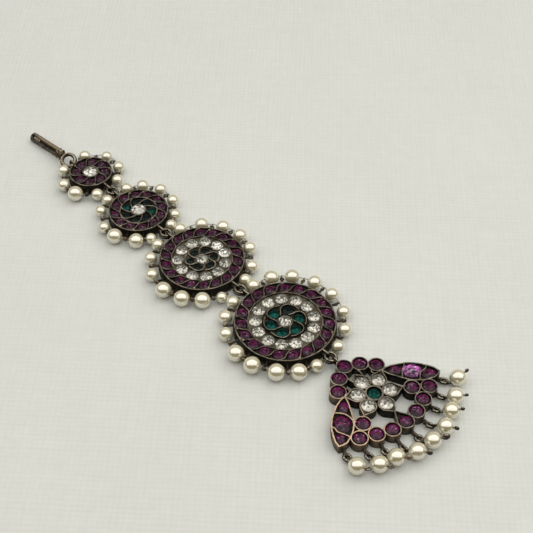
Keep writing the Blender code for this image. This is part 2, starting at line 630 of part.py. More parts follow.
# ---------------------------------------------------------------- drops
for number, (_, _, held, pearl, end, size) in enumerate(DROPS, start=1):
    points, faces = ring(DROP_RING, DROP_RING_WIRE, 12, 4)
    add(f"drop_ring_{number}", points, faces, "antique_metal", pendant, location=(held[0], held[1], DROP_RING_HEIGHT), smooth=60)
    # pearl on its pin: the loop stands upright round the ring, and the pin rises through the pearl
    ball = DROP_PEARL / 2
    middle = Vector((pearl[0], pearl[1], ball))
    bore = (Vector((end[0], end[1], DROP_END_HEIGHT)) - middle).normalized()
    mouth = middle - bore * ball
    heading = Vector((mouth.x - held[0], mouth.y - held[1], 0)).normalized()
    loop = Vector((held[0], held[1], DROP_RING_HEIGHT)) + heading * DROP_RING
    path, radii = [], []
    for k in range(6):
        angle = math.radians(-28 - 304 * k / 5)
        path.append(loop + heading * PIN_LOOP * math.cos(angle) + Vector((0, 0, PIN_LOOP * math.sin(angle))))
        radii.append(PIN_WIRE)
    for share in (-0.99, -0.68, 0, 0.68, 0.99):
        path.append(middle + bore * ball * share)
        radii.append(PIN_WIRE + 0.02 if abs(share) == 0.99 else ball * math.sqrt(1 - share ** 2))
    for share, width in ((0.15, 0.5), (0.7, 0.98), (1.3, 0.9), (1.75, 0.35)):
        path.append(middle + bore * (ball + size * share))
        radii.append(size * width)
    points, faces = sweep(path, radii, 7, start=Vector((-heading.y, heading.x, 0)))
    add(f"drop_pearl_{number}", points, faces, "pearl", pendant, smooth=60)

# ---------------------------------------------------------------- put the middle of the jewel over the origin
bpy.context.view_layer.update()
low, high = Vector((1e9, 1e9, 1e9)), Vector((-1e9, -1e9, -1e9))
for made in bpy.context.scene.collection.objects:
    if made.type == "MESH":
        for corner in made.data.vertices:
            spot = made.matrix_world @ corner.co
            low = Vector(map(min, low, spot))
            high = Vector(map(max, high, spot))
layout.location = Vector((-(low.x + high.x) / 2, -(low.y + high.y) / 2, -low.z))
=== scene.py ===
"""Looks of the maang tikka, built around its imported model.  Lengths in the tables and in the
shape functions are millimetres in the jewel's own layout; a piece is turned into metres in the
row frame when it is made."""
import math
import random

import bmesh
import bpy
from mathutils import Matrix, Vector, noise
from mathutils.geometry import delaunay_2d_cdt


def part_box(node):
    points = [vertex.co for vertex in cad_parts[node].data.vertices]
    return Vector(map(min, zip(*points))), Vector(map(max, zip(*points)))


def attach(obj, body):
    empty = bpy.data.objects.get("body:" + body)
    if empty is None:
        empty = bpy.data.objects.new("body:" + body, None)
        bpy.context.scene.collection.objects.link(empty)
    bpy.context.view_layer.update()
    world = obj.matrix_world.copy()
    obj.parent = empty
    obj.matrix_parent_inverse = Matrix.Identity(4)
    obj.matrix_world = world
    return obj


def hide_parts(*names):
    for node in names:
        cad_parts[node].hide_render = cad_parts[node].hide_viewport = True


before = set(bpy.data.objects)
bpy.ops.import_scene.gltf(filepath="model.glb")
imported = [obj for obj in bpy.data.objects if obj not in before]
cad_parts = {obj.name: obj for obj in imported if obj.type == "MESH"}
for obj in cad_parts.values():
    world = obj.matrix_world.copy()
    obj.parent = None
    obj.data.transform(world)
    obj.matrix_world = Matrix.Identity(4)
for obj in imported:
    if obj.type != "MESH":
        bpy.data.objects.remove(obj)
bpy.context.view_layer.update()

chance = random.Random(7)

# ---------------------------------------------------------------- tables shared with the CAD
WIRE_HEIGHT = 1.95
LINK_HEIGHT = 1.8
LINK_RING = 1.5
LINK_WIRE = 0.33
DISCS = {1: (-58.49, -1.65, 6.15), 2: (-37.12, -1.24, 8.22), 3: (-11.63, -0.02, 11.40), 4: (18.84, 1.55, 13.00)}
STONE_RINGS = {
    1: [("purple", 8, 2.25, 5.50, 4.5)],
    2: [("purple", 12, 5.35, 7.58, 1.3), ("green", 7, 2.25, 4.85, 0.0)],
    3: [("purple", 18, 8.35, 10.75, 2.0), ("clear", 11, 4.85, 7.85, 2.0), ("green", 6, 1.85, 4.35, 2.3)],
    4: [("purple", 19, 9.75, 12.35, 5.4), ("clear", 13, 5.75, 9.25, 5.2), ("green", 6, 2.15, 5.25, 6.3)],
}
PEARLS = {
    (1, "left"): [(31, 3.1, 1.9), (70, 3.1, 2.1), (111, 3.0, 2.3), (156, 3.2, 2.0)],
    (1, "right"): [(-25, 3.2, 2.5), (-66, 4.0, 2.7), (-101, 3.3, 2.3), (-143, 3.1, 2.0)],
    (2, "left"): [(21, 2.8, 2.0), (44, 3.0, 1.9), (76, 3.1, 2.2), (107, 3.2, 2.6),
                  (136, 3.25, 2.6), (161, 3.2, 2.2)],
    (2, "right"): [(-20, 2.8, 2.4), (-42, 3.85, 2.6), (-75, 3.9, 2.6), (-100, 3.0, 2.4),
                   (-136, 2.9, 2.3), (-161, 2.9, 2.1)],
    (3, "left"): [(17.5, 3.0, 1.9), (39, 3.3, 2.0), (68, 3.4, 2.1), (91, 3.5, 2.3),
                  (115, 3.5, 2.3), (140, 3.5, 2.2), (166, 3.4, 1.9)],
    (3, "right"): [(-19, 2.7, 2.5), (-40, 4.0, 2.6), (-62, 4.0, 2.8), (-85, 3.95, 2.8),
                   (-111, 3.3, 2.5), (-136, 3.2, 2.3), (-158, 3.1, 2.0)],
    (4, "left"): [(18, 3.1, 2.0), (40, 3.25, 2.1), (62, 3.25, 2.4), (86, 3.4, 2.6),
                  (108, 3.6, 2.9), (130, 3.75, 2.9), (150, 3.8, 2.7), (170, 3.4, 2.0)],
    (4, "right"): [(-13, 3.1, 2.4), (-31, 4.0, 2.8), (-51, 4.1, 2.8), (-74, 4.1, 2.8),
                   (-94, 4.0, 2.7), (-119, 3.4, 2.3), (-140, 3.4, 2.3), (-160, 3.2, 2.0)],
}
HOOK_TIP = (-84.1, -4.15, 1.3)
HOOK_COLLAR = (-71.6, -3.3, 2.3)
HOOK_WIRE = 0.48
HOOK_ARMS = 1.6
HOOK_EYE = (-67.3, -3.15, 2.3)
HOOK_EYE_RING = 1.9
HOOK_EYE_WIRE = 0.4
HOOK_EYE_TILT = 25.0
HOOK_EYE_TURN = 46.0
PENDANT = (46.86, 2.2, -1.85)
FRAME_HEIGHT = 2.85
CUP = 2.1
GREEN_CUP = 2.2
FLOWER = (2.4, 0.0)
PETAL_REACH = 4.15
PETAL_TIP = 7.3
PETALS = [180.0, 121.5, 64.0, 0.0, -64.0, -121.5]
ARM_CUPS = [(-3.4, 6.4), (-6.15, 3.5), (-8.0, 0.0), (-6.15, -3.5), (-3.4, -6.4)]
RIM_CUPS = [(9.45, 11.6), (11.2, 7.75), (12.6, 3.97), (13.0, 0.0), (12.6, -3.97), (11.2, -7.75), (9.45, -11.6)]
INNER_CUPS = [(7.0, 8.15), (7.0, -8.15)]
CUP_POINT = (9.0, 0.0)
WING = [(-1.5, 6.0), (0.5, 6.6), (2.8, 7.8), (5.3, 9.3), (7.3, 11.6), (8.6, 14.6),
        (8.1, 16.95), (5.6, 16.2), (3.1, 14.7), (0.9, 12.4), (-1.0, 8.9)]
DROPS = [((7.1, 15.0), 1.23, (9.83, 16.49), (11.97, 18.98), (12.33, 21.13), 0.50),
         ((9.45, 11.6), 1.8, (12.71, 12.48), (15.41, 14.53), (17.09, 15.93), 0.42),
         ((11.2, 7.75), 1.8, (14.55, 8.83), (17.62, 10.68), (19.16, 12.10), 0.46),
         ((12.6, 3.97), 1.8, (16.64, 4.47), (19.83, 6.36), (22.07, 7.24), 0.52),
         ((13.0, 0.0), 1.8, (17.61, -0.15), (20.57, 1.27), (22.13, 3.46), 0.78),
         ((12.6, -3.97), 1.8, (17.03, -4.81), (20.34, -3.63), (22.73, -2.33), 0.62),
         ((11.2, -7.75), 1.8, (15.21, -8.78), (18.33, -8.40), (20.49, -7.03), 0.66),
         ((9.45, -11.6), 1.8, (13.67, -12.41), (17.19, -12.74), (19.68, -11.67), 0.60),
         ((7.0, -15.3), 1.23, (10.63, -16.45), (14.23, -16.95), (16.46, -16.25), 0.60)]
DROP_RING = 0.87
DROP_RING_HEIGHT = 0.75
DROP_PEARL = 4.05
DROP_END_HEIGHT = 3.05


def polar(radius, angle, height=0.0):
    return Vector((radius * math.cos(math.radians(angle)), radius * math.sin(math.radians(angle)), height))


def bearing(start, end):
    return math.degrees(math.atan2(end[1] - start[1], end[0] - start[0]))


def between(a, b):
    """Where the jump ring between two discs sits, and the loops' reaches on both."""
    here, there = DISCS[a], DISCS[b]
    heading = bearing(here, there)
    gap = math.dist(here[:2], there[:2]) - here[2] - there[2]
    return Vector((here[0], here[1], LINK_HEIGHT)) + polar(here[2] + gap / 2, heading), heading, gap


# the row frame starts under the middle of the CAD box: a link's place tells by how much
_low, _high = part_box("link_2_3")
_ring = between(2, 3)[0]
SHIFT = Vector((_ring.x - (_low.x + _high.x) * 500, _ring.y - (_low.y + _high.y) * 500, 0))
LAYOUT = Matrix.Scale(0.001, 4) @ Matrix.Translation(-SHIFT)
PENDANT_SEAT = Matrix.Translation(Vector((PENDANT[0], PENDANT[1], 0))) @ Matrix.Rotation(math.radians(PENDANT[2]), 4, "Z")
# the photograph's own axes: right, away and up from the surface at the middle of the picture
PHOTO = LAYOUT @ Matrix.Translation(Vector((0, 12.5, 0))) @ Matrix.Rotation(math.radians(47.0), 4, "Z")


# ---------------------------------------------------------------- materials
class Graph:
    """A material's nodes, made with short calls."""

    def __init__(self, name):
        self.material = bpy.data.materials.new(name)
        self.material.use_nodes = True
        self.tree = self.material.node_tree
        self.shader = self.tree.nodes["Principled BSDF"]
        self.coords = self.node("ShaderNodeTexCoord").outputs["Object"]

    def node(self, kind, inputs=None, **settings):
        made = self.tree.nodes.new(kind)
        for key, value in settings.items():
            setattr(made, key, value)
        for key, value in (inputs or {}).items():
            socket = made.inputs[key]
            if isinstance(value, bpy.types.NodeSocket):
                self.tree.links.new(value, socket)
            else:
                socket.default_value = value
        return made

    def link(self, output, socket):
        self.tree.links.new(output, self.shader.inputs[socket] if isinstance(socket, str) else socket)

    def set(self, **values):
        for key, value in values.items():
            self.shader.inputs[key.replace("_", " ")].default_value = value

    def noise(self, per_mm, detail=4.0, rough=0.55, vector=None, kind="noise"):
        return self.node("ShaderNodeTexNoise", {"Vector": vector or self.coords, "Scale": per_mm * 1000.0, "Detail": detail, "Roughness": rough}).outputs["Fac"]

    def ramp(self, factor, stops, smooth=False):
        made = self.node("ShaderNodeValToRGB", {"Fac": factor})
        band = made.color_ramp
        band.interpolation = "EASE" if smooth else "LINEAR"
        while len(band.elements) < len(stops):
            band.elements.new(0.5)
        for element, (at, colour) in zip(band.elements, stops):
            element.position = at
            element.color = (*colour, 1.0) if len(colour) == 3 else colour
        return made.outputs["Color"]

    def mix(self, factor, a, b, mode="MIX"):
        made = self.node("ShaderNodeMix", data_type="RGBA", blend_type=mode)
        for socket, value in ((made.inputs[0], factor), (made.inputs[6], a), (made.inputs[7], b)):
            if isinstance(value, bpy.types.NodeSocket):
                self.tree.links.new(value, socket)
            else:
                socket.default_value = value if isinstance(value, float) else (*value, 1.0)
        return made.outputs[2]

    def maths(self, operation, a, b=None, c=None, clamp=False):
        made = self.node("ShaderNodeMath", operation=operation, use_clamp=clamp)
        for i, value in enumerate((a, b, c)):
            if value is None:
                continue
            if isinstance(value, bpy.types.NodeSocket):
                self.tree.links.new(value, made.inputs[i])
            else:
                made.inputs[i].default_value = value
        return made.outputs[0]

    def span(self, value, low, high, to_low=0.0, to_high=1.0):
        made = self.node("ShaderNodeMapRange", {"Value": value, "From Min": low, "From Max": high, "To Min": to_low, "To Max": to_high}, clamp=True)
        return made.outputs["Result"]

    def height(self):
        """Height above the surface, in millimetres."""
        return self.maths("MULTIPLY", self.node("ShaderNodeSeparateXYZ", {"Vector": self.coords}).outputs["Z"], 1000.0)

    def attribute(self, name):
        return self.node("ShaderNodeAttribute", attribute_name=name)

    def bump(self, height, strength, distance):
        return self.node("ShaderNodeBump", {"Height": height, "Strength": strength, "Distance": distance}).outputs["Normal"]


def metal(name, dark, middle, light, rough, lightening=0.5, metallic=0.9, bumps=0.35, painted_top_highlight=0.0):
    """Oxidised metal: dark patina, with lighter metal where the noise leaves it rubbed.  A per-point value lightens it
    further, which is real wear on most pieces and painted light on a few, and a painted highlight can be laid on the
    faces that point up."""
    g = Graph(name)
    broad = g.noise(0.55, 3.0)
    patch = g.noise(2.4, 5.0, 0.6)
    grain = g.noise(14.0, 3.0)
    blend = g.maths("ADD", g.maths("MULTIPLY", broad, 0.5), g.maths("MULTIPLY", patch, 0.5))
    tone = g.ramp(blend, [(0.33, dark), (0.33 + 0.26 * (1.1 - lightening), middle), (0.78 - 0.2 * lightening, light)])
    # per-point lightening: real wear on most pieces, painted light on the hook's far arm and on one drop's curl
    wear = g.attribute("wear").outputs["Fac"]
    rubbed_and_lit = (light[0] * 1.45, light[1] * 1.18, light[2] * 1.02)
    # painted highlight: faces that point up are made lighter, standing in for the overhead light they catch
    if painted_top_highlight:
        level = g.node("ShaderNodeSeparateXYZ", {"Vector": g.node("ShaderNodeNewGeometry").outputs["Normal"]}).outputs["Z"]
        up = g.maths("MULTIPLY", g.span(level, 0.70, 0.97), g.span(patch, 0.36, 0.58, 0.15, 1.0))
        tone = g.mix(g.maths("MULTIPLY", up, painted_top_highlight), tone, tuple(c * 1.7 for c in light))
    tone = g.mix(wear, tone, g.mix(patch, tuple(c * 0.7 for c in rubbed_and_lit), tuple(c * 1.45 for c in rubbed_and_lit)))
    g.link(tone, "Base Color")
    g.link(g.span(patch, 0.3, 0.75, rough + 0.16, rough - 0.06), "Roughness")
    g.set(Metallic=metallic)
    uneven = g.maths("ADD", g.maths("MULTIPLY", patch, 0.8), g.maths("MULTIPLY", grain, 0.3))
    g.link(g.bump(uneven, bumps, 0.00012), "Normal")
    return g.material


def foil(name, deep, shine, flash, metallic, rough, bowl, reach, broken, cells, contrast, edge_shade=0.6, coat=1.0, fine=2.7, tip=(0.0, 0.0)):
    """A foil-backed stone: the glass above gives a clear gloss, and the foil behind it, seen as a
    faceted bowl, gives the coloured flashes.  The gem attribute is the place in the stone."""
    g = Graph(name)
    gem = g.attribute("gem").outputs["Vector"]
    parts = g.node("ShaderNodeSeparateXYZ", {"Vector": gem})
    u, v, lot = parts.outputs["X"], parts.outputs["Y"], parts.outputs["Z"]
    # pavilion facets round the middle
    turned = g.maths("ADD", g.maths("ARCTAN2", v, u), g.maths("MULTIPLY", lot, 6.28))
    sector = g.maths("MULTIPLY", g.maths("ROUND", g.maths("MULTIPLY", turned, cells / 6.2832)), 6.2832 / cells)
    facing = g.maths("SUBTRACT", sector, g.maths("MULTIPLY", lot, 6.28))
    away = g.maths("SQRT", g.maths("ADD", g.maths("MULTIPLY", u, u), g.maths("MULTIPLY", v, v)))
    lean = g.maths("MULTIPLY", g.span(away, reach[0], reach[1]), -bowl)
    flat = g.node("ShaderNodeCombineXYZ", {"X": g.maths("ADD", g.maths("MULTIPLY", g.maths("COSINE", facing), lean), tip[0]),
                                           "Y": g.maths("ADD", g.maths("MULTIPLY", g.maths("SINE", facing), lean), tip[1]), "Z": 1.0}).outputs["Vector"]
    spread = g.node("ShaderNodeCombineXYZ", {"X": u, "Y": v, "Z": g.maths("MULTIPLY", lot, 37.0)}).outputs["Vector"]
    chips = g.node("ShaderNodeTexVoronoi", {"Vector": spread, "Scale": fine, "Randomness": 0.9}, voronoi_dimensions="3D", feature="F1")
    offset = g.node("ShaderNodeVectorMath", {0: chips.outputs["Color"], 1: (0.5, 0.5, 0.5)}, operation="SUBTRACT").outputs["Vector"]
    offset = g.node("ShaderNodeVectorMath", {0: offset, 1: (broken, broken, 0.0)}, operation="MULTIPLY").outputs["Vector"]
    normal = g.node("ShaderNodeVectorMath", {0: g.node("ShaderNodeVectorMath", {0: flat, 1: offset}, operation="ADD").outputs["Vector"]}, operation="NORMALIZE").outputs["Vector"]
    g.link(normal, "Normal")
    # some chips of foil are darker than others
    chip = g.node("ShaderNodeSeparateColor", {"Color": chips.outputs["Color"]})
    tone = g.mix(g.span(chip.outputs["Red"], 0.5 - contrast, 0.5 + contrast), deep, shine)
    sparkle = g.span(chip.outputs["Green"], 0.80, 0.92)
    tone = g.mix(g.maths("MULTIPLY", sparkle, g.span(away, 0.85, 0.4)), tone, flash)
    tone = g.mix(g.maths("MULTIPLY", g.maths("FRACT", g.maths("MULTIPLY", lot, 17.3)), 0.35), tone, tuple(c * 0.55 for c in shine))
    # painted shade: the stone darkens towards its edge
    tone = g.mix(g.maths("MULTIPLY", g.span(away, 0.88, 1.0), edge_shade), tone, tuple(c * 0.3 for c in deep))
    g.link(tone, "Base Color")
    g.link(g.span(g.noise(3.0), 0.3, 0.7, rough * 0.8, rough * 1.3), "Roughness")
    g.set(Metallic=metallic, Coat_Weight=coat, Coat_Roughness=0.05, Coat_IOR=1.52)
    g.link(g.bump(g.noise(20.0, 2.0), 0.04, 0.0001), "Coat Normal")
    return g.material


def pearl_material():
    g = Graph("pearl_lustre")
    patch = g.noise(0.9, 3.0)
    fine = g.noise(9.0, 3.0)
    lot = g.attribute("gem").outputs["Fac"]
    body = g.ramp(patch, [(0.3, (0.54, 0.475, 0.255)), (0.7, (0.62, 0.555, 0.335))])
    body = g.mix(lot, body, (0.64, 0.565, 0.36))
    g.link(body, "Base Color")
    g.link(g.span(fine, 0.3, 0.7, 0.12, 0.18), "Roughness")
    g.set(IOR=5.2, Coat_Weight=1.0, Coat_Roughness=0.03, Coat_IOR=1.5)
    g.link(g.bump(fine, 0.03, 0.0001), "Normal")
    return g.material


def resin_material():
    """The dark filling between the stones."""
    g = Graph("dark_filling")
    patch = g.noise(2.0, 5.0)
    g.link(g.ramp(patch, [(0.35, (0.006, 0.005, 0.004)), (0.75, (0.035, 0.028, 0.02))]), "Base Color")
    g.link(g.span(patch, 0.3, 0.7, 0.85, 0.6), "Roughness")
    g.set(Specular_IOR_Level=0.15)
    g.link(g.bump(patch, 0.6, 0.0002), "Normal")
    return g.material


def floor_material():
    """Pale woven cover with a fine plain weave."""
    g = Graph("pale_floor")
    turned = g.node("ShaderNodeMapping", {"Vector": g.coords, "Rotation": (0, 0, math.radians(2.0))}).outputs["Vector"]
    warp = g.node("ShaderNodeTexWave", {"Vector": turned, "Scale": 240.0, "Distortion": 1.6, "Detail": 2.0, "Detail Scale": 1.5},
                  wave_type="BANDS", bands_direction="X").outputs["Fac"]
    weft = g.node("ShaderNodeTexWave", {"Vector": turned, "Scale": 240.0, "Distortion": 1.6, "Detail": 2.0, "Detail Scale": 1.5},
                  wave_type="BANDS", bands_direction="Y").outputs["Fac"]
    weave = g.maths("MULTIPLY", g.maths("ADD", warp, weft), 0.5)
    threads = []
    for stretch in ((900.0, 45.0, 1.0), (45.0, 900.0, 1.0)):
        drawn = g.node("ShaderNodeMapping", {"Vector": turned, "Scale": stretch}).outputs["Vector"]
        threads.append(g.node("ShaderNodeTexNoise", {"Vector": drawn, "Scale": 1.0, "Detail": 2.0, "Roughness": 0.6}).outputs["Fac"])
    thread = g.maths("MULTIPLY", g.maths("ADD", threads[0], threads[1]), 0.5)
    blotch = g.noise(0.03, 4.0, 0.6)
    slub = g.noise(0.35, 4.0, 0.6)
    tone = g.ramp(g.maths("ADD", g.maths("MULTIPLY", blotch, 0.5), g.maths("MULTIPLY", slub, 0.5)),
                  [(0.3, (0.612, 0.622, 0.590)), (0.7, (0.655, 0.665, 0.632))])
    tone = g.mix(g.maths("MULTIPLY", weave, 0.09), tone, (0.50, 0.50, 0.465))
    tone = g.mix(g.span(thread, 0.38, 0.62, 0.0, 0.13), tone, (0.50, 0.495, 0.455))
    g.link(tone, "Base Color")
    g.set(Roughness=0.9)
    g.link(g.bump(g.maths("ADD", weave, g.maths("MULTIPLY", thread, 2.0)), 0.3, 0.0002), "Normal")
    return g.material


METAL = metal("oxidised_metal", (0.013, 0.010, 0.007), (0.058, 0.050, 0.038), (0.180, 0.156, 0.122), 0.42, 0.5)
EDGE = metal("rubbed_edge", (0.042, 0.034, 0.023), (0.205, 0.176, 0.129), (0.52, 0.455, 0.355), 0.34, 0.45, metallic=0.75, bumps=0.35)
DARK = metal("blackened_recess", (0.006, 0.004, 0.003), (0.019, 0.015, 0.010), (0.090, 0.074, 0.052), 0.5, 0.35, 0.8)
# the wire material carries a painted highlight on its faces that point up
WIRE = metal("brown_wire", (0.008, 0.006, 0.004), (0.028, 0.023, 0.016), (0.30, 0.265, 0.20), 0.22, 0.2, bumps=0.3, painted_top_highlight=0.85)
PLATE = metal("brown_plate", (0.016, 0.013, 0.007), (0.075, 0.064, 0.040), (0.19, 0.165, 0.115), 0.45, 0.5, bumps=0.9)
RESIN = resin_material()
METALS = [METAL, EDGE, DARK, RESIN, WIRE, PLATE]
PURPLE = foil("plum_stone", (0.009, 0.001, 0.007), (0.098, 0.0028, 0.048), (0.46, 0.30, 0.42), 0.97, 0.11, 0.38, (0.40, 0.92), 0.24, 10, 0.32, coat=0.5, fine=4.2)
MAGENTA = foil("magenta_stone", (0.085, 0.012, 0.080), (0.46, 0.11, 0.40), (0.96, 0.85, 0.97), 0.92, 0.12, 0.24, (0.1, 0.9), 0.55, 9, 0.3, coat=0.6, fine=3.6)
GREEN = foil("emerald_stone", (0.0004, 0.008, 0.007), (0.0006, 0.062, 0.048), (0.004, 0.13, 0.10), 0.98, 0.13, -0.50, (0.0, 0.85), 0.20, 8, 0.35, coat=0.16)
DARKGREEN = foil("bottle_stone", (0.0005, 0.002, 0.002), (0.0008, 0.008, 0.007), (0.01, 0.05, 0.04), 0.95, 0.16, -0.30, (0.2, 0.95), 0.15, 8, 0.4, coat=0.25)
CLEAR = foil("clear_stone", (0.16, 0.150, 0.122), (0.60, 0.575, 0.505), (0.97, 0.96, 0.92), 0.95, 0.12, -0.27, (0.10, 0.95), 0.32, 12, 0.40, 0.9, coat=0.7, fine=4.4)
# clear stones whose shading normal is tipped so that they mirror the overhead lamp; this copy's base colour is also
# lighter, a painted highlight
FLASH = foil("clear_stone_tipped_painted_bright", (0.20, 0.19, 0.16), (0.70, 0.68, 0.62), (1.0, 1.0, 0.98), 0.95, 0.11, -0.28, (0.10, 0.95), 0.30, 12, 0.40, 0.9, coat=0.7, fine=4.2, tip=(0.085, -0.079))
PEARL = pearl_material()


# ---------------------------------------------------------------- pieces
class Piece:
    """Closed meshes gathered into one object."""

    def __init__(self, name, at=Matrix.Identity(4)):
        self.name, self.at = name, at
        self.points, self.faces, self.slots, self.smooth, self.gem, self.wear = [], [], [], [], [], []

    def add(self, points, faces, slot=0, smooth=True, gem=None, wear=0.0, at=None):
        start = len(self.points)
        place = self.at @ at if at is not None else self.at
        self.points += [place @ Vector(p) for p in points]
        self.faces += [tuple(start + i for i in face) for face in faces]
        self.slots += list(slot) if isinstance(slot, (list, tuple)) else [slot] * len(faces)
        self.smooth += list(smooth) if isinstance(smooth, (list, tuple)) else [smooth] * len(faces)
        self.gem += gem if gem is not None else [(0.0, 0.0, 0.0)] * len(points)
        self.wear += wear if isinstance(wear, list) else [wear] * len(points)
        return self

    def make(self, materials, nodes=(), sharp=38.0):
        mesh = bpy.data.meshes.new(self.name)
        mesh.from_pydata([LAYOUT @ p for p in self.points], [], self.faces)
        gem = mesh.attributes.new("gem", "FLOAT_VECTOR", "POINT")
        gem.data.foreach_set("vector", [c for value in self.gem for c in value])
        wear = mesh.attributes.new("wear", "FLOAT", "POINT")
        wear.data.foreach_set("value", self.wear)
        for used in materials:
            mesh.materials.append(used)
        mesh.polygons.foreach_set("material_index", self.slots)
        build = bmesh.new()
        build.from_mesh(mesh)
        bmesh.ops.recalc_face_normals(build, faces=build.faces)
        build.to_mesh(mesh)
        build.free()
        mesh.polygons.foreach_set("use_smooth", self.smooth)
        mesh.set_sharp_from_angle(angle=math.radians(sharp))
        mesh.update()
        made = bpy.data.objects.new(self.name, mesh)
        bpy.context.scene.collection.objects.link(made)
        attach(made, "root")
        if nodes:
            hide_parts(*nodes)
        return made


def smoothed(path, step, closed=False):
    """A curve through the points, with stations about one step apart."""
    path = [Vector(p) for p in path]
    count = len(path)
    out = []
    for i in range(count if closed else count - 1):
        if closed:
            a, b, c, d = (path[(i + k) % count] for k in (-1, 0, 1, 2))
        else:
            b, c = path[i], path[i + 1]
            a = path[i - 1] if i else b * 2 - c
            d = path[i + 2] if i + 2 < count else c * 2 - b
        pieces = max(1, round((c - b).length / step))
        for k in range(pieces):
            t = k / pieces
            out.append(0.5 * ((2 * b) + (c - a) * t + (2 * a - 5 * b + 4 * c - d) * t * t + (3 * b - a - 3 * c + d) * t ** 3))
    if not closed:
        out.append(path[-1].copy())
    return out


def sweep(path, radii, sides, closed=False, start=Vector((0, 0, 1))):
    """A round wire along a path, whose radius follows the list."""
    path = [Vector(p) for p in path]
    count = len(path)
    radii = radii if isinstance(radii, list) else [radii] * count
    tangents = []
    for i in range(count):
        step = path[(i + 1) % count] - path[i - 1] if closed else path[min(i + 1, count - 1)] - path[max(i - 1, 0)]
        tangents.append(step.normalized())
    side = start - tangents[0] * start.dot(tangents[0])
    if side.length < 1e-6:
        side = tangents[0].orthogonal()
    side.normalize()
    sides_at = []
    for i in range(count):
        if i:
            side = tangents[i - 1].rotation_difference(tangents[i]) @ side
            side = (side - tangents[i] * side.dot(tangents[i])).normalized()
        sides_at.append(side.copy())
    if closed:
        last = tangents[-1].rotation_difference(tangents[0]) @ side
        drift = math.atan2(last.cross(sides_at[0]).dot(tangents[0]), last.dot(sides_at[0]))
        sides_at = [Matrix.Rotation(drift * i / count, 3, tangents[i]) @ s for i, s in enumerate(sides_at)]
    points = []
    for i in range(count):
        across = tangents[i].cross(sides_at[i])
        for k in range(sides):
            angle = 2 * math.pi * (k + 0.5) / sides
            points.append(path[i] + (sides_at[i] * math.cos(angle) + across * math.sin(angle)) * radii[i])
    faces = []
    for i in range(count if closed else count - 1):
        j = (i + 1) % count
        for k in range(sides):
            m = (k + 1) % sides
            faces.append((i * sides + k, i * sides + m, j * sides + m, j * sides + k))
    if not closed:
        faces.append(tuple(range(sides)))
        faces.append(tuple((count - 1) * sides + k for k in range(sides)))
    return points, faces


def wire(path, radius, sides=10, step=0.25, closed=False, blunt=True, start=Vector((0, 0, 1))):
    """A smooth round wire with rounded ends."""
    stations = smoothed(path, step, closed)
    radii = [radius] * len(stations)
    if blunt and not closed:
        head = (stations[0] - stations[1]).normalized()
        tail = (stations[-1] - stations[-2]).normalized()
        stations = [stations[0] + head * radius * 0.5, stations[0] + head * radius * 0.35] + stations + [stations[-1] + tail * radius * 0.35, stations[-1] + tail * radius * 0.5]
        radii = [radius * 0.4, radius * 0.8] + radii + [radius * 0.8, radius * 0.4]
    return sweep(stations, radii, sides, closed, start)


def ring_path(radius, around, matrix, start=0.0, end=360.0):
    full = abs(end - start) >= 360
    count = around if full else around + 1
    return [matrix @ polar(radius, start + (end - start) * i / around) for i in range(count)]


def ribbon(path, low, high, thick, closed=False, waver=0.05, seed=0.0, sides=(2, 2)):
    """An upright ribbon of metal along a flat path; its top edge is rounded and rubbed.  The
    slots are those of its left side, its right side and its top."""
    path = [Vector((p[0], p[1])) for p in path]
    count = len(path)
    half = thick / 2
    points, faces, slots = [], [], []
    for i, here in enumerate(path):
        step = path[(i + 1) % count] - path[i - 1] if closed else path[min(i + 1, count - 1)] - path[max(i - 1, 0)]
        step.normalize()
        left = Vector((-step.y, step.x))
        lift = waver * noise.noise(Vector((here.x * 0.9 + seed, here.y * 0.9, seed * 3.1)))
        swell = 1 + 0.22 * noise.noise(Vector((here.x * 1.7, here.y * 1.7 + seed, 5.0)))
        for aside, z in ((half, low), (half, high - 0.13 + lift), (half * 0.86 * swell, high - 0.04 + lift), (half * 0.45, high + lift),
                         (-half * 0.45, high + lift), (-half * 0.86 * swell, high - 0.04 + lift), (-half, high - 0.13 + lift), (-half, low)):
            spot = here + left * aside
            points.append((spot.x, spot.y, z))
    n = 8
    for i in range(count if closed else count - 1):
        j = (i + 1) % count
        for k in range(n):
            m = (k + 1) % n
            faces.append((i * n + k, i * n + m, j * n + m, j * n + k))
            slots.append(sides[0] if k == 0 else 1 if k < 6 else sides[1] if k == 6 else sides[0])
    if not closed:
        faces += [tuple(range(n)), tuple((count - 1) * n + k for k in range(n))]
        slots += [sides[0], sides[1]]
    return points, faces, slots


def lathe(profile, around, centre=(0, 0, 0)):
    points, index = [], []
    for radius, height in profile:
        if radius == 0:
            index.append([len(points)] * around)
            points.append((centre[0], centre[1], centre[2] + height))
        else:
            index.append(list(range(len(points), len(points) + around)))
            for k in range(around):
                angle = 2 * math.pi * k / around
                points.append((centre[0] + radius * math.cos(angle), centre[1] + radius * math.sin(angle), centre[2] + height))
    faces = []
    for row, after in zip(index, index[1:]):
        for k in range(around):
            m = (k + 1) % around
            corners = [row[k], row[m], after[m], after[k]]
            kept = [c for i, c in enumerate(corners) if c not in corners[:i]]
            if len(kept) > 2:
                faces.append(tuple(kept))
    return points, faces


def slab(outline, low, high):
    """A flat plate in the shape of an outline."""
    count = len(outline)
    spots, _, tiles, _, _, _ = delaunay_2d_cdt([Vector(p[:2]) for p in outline], [], [list(range(count))], 1, 1e-5)
    n = len(spots)
    points = [(s.x, s.y, low) for s in spots] + [(s.x, s.y, high) for s in spots]
    faces, edges = [], {}
    for tile in tiles:
        faces.append(tuple(reversed(tile)))
        faces.append(tuple(i + n for i in tile))
        for a, b in zip(tile, list(tile[1:]) + [tile[0]]):
            edges[(a, b)] = True
    for a, b in edges:
        if (b, a) not in edges:
            faces.append((a, b, b + n, a + n))
    return points, faces


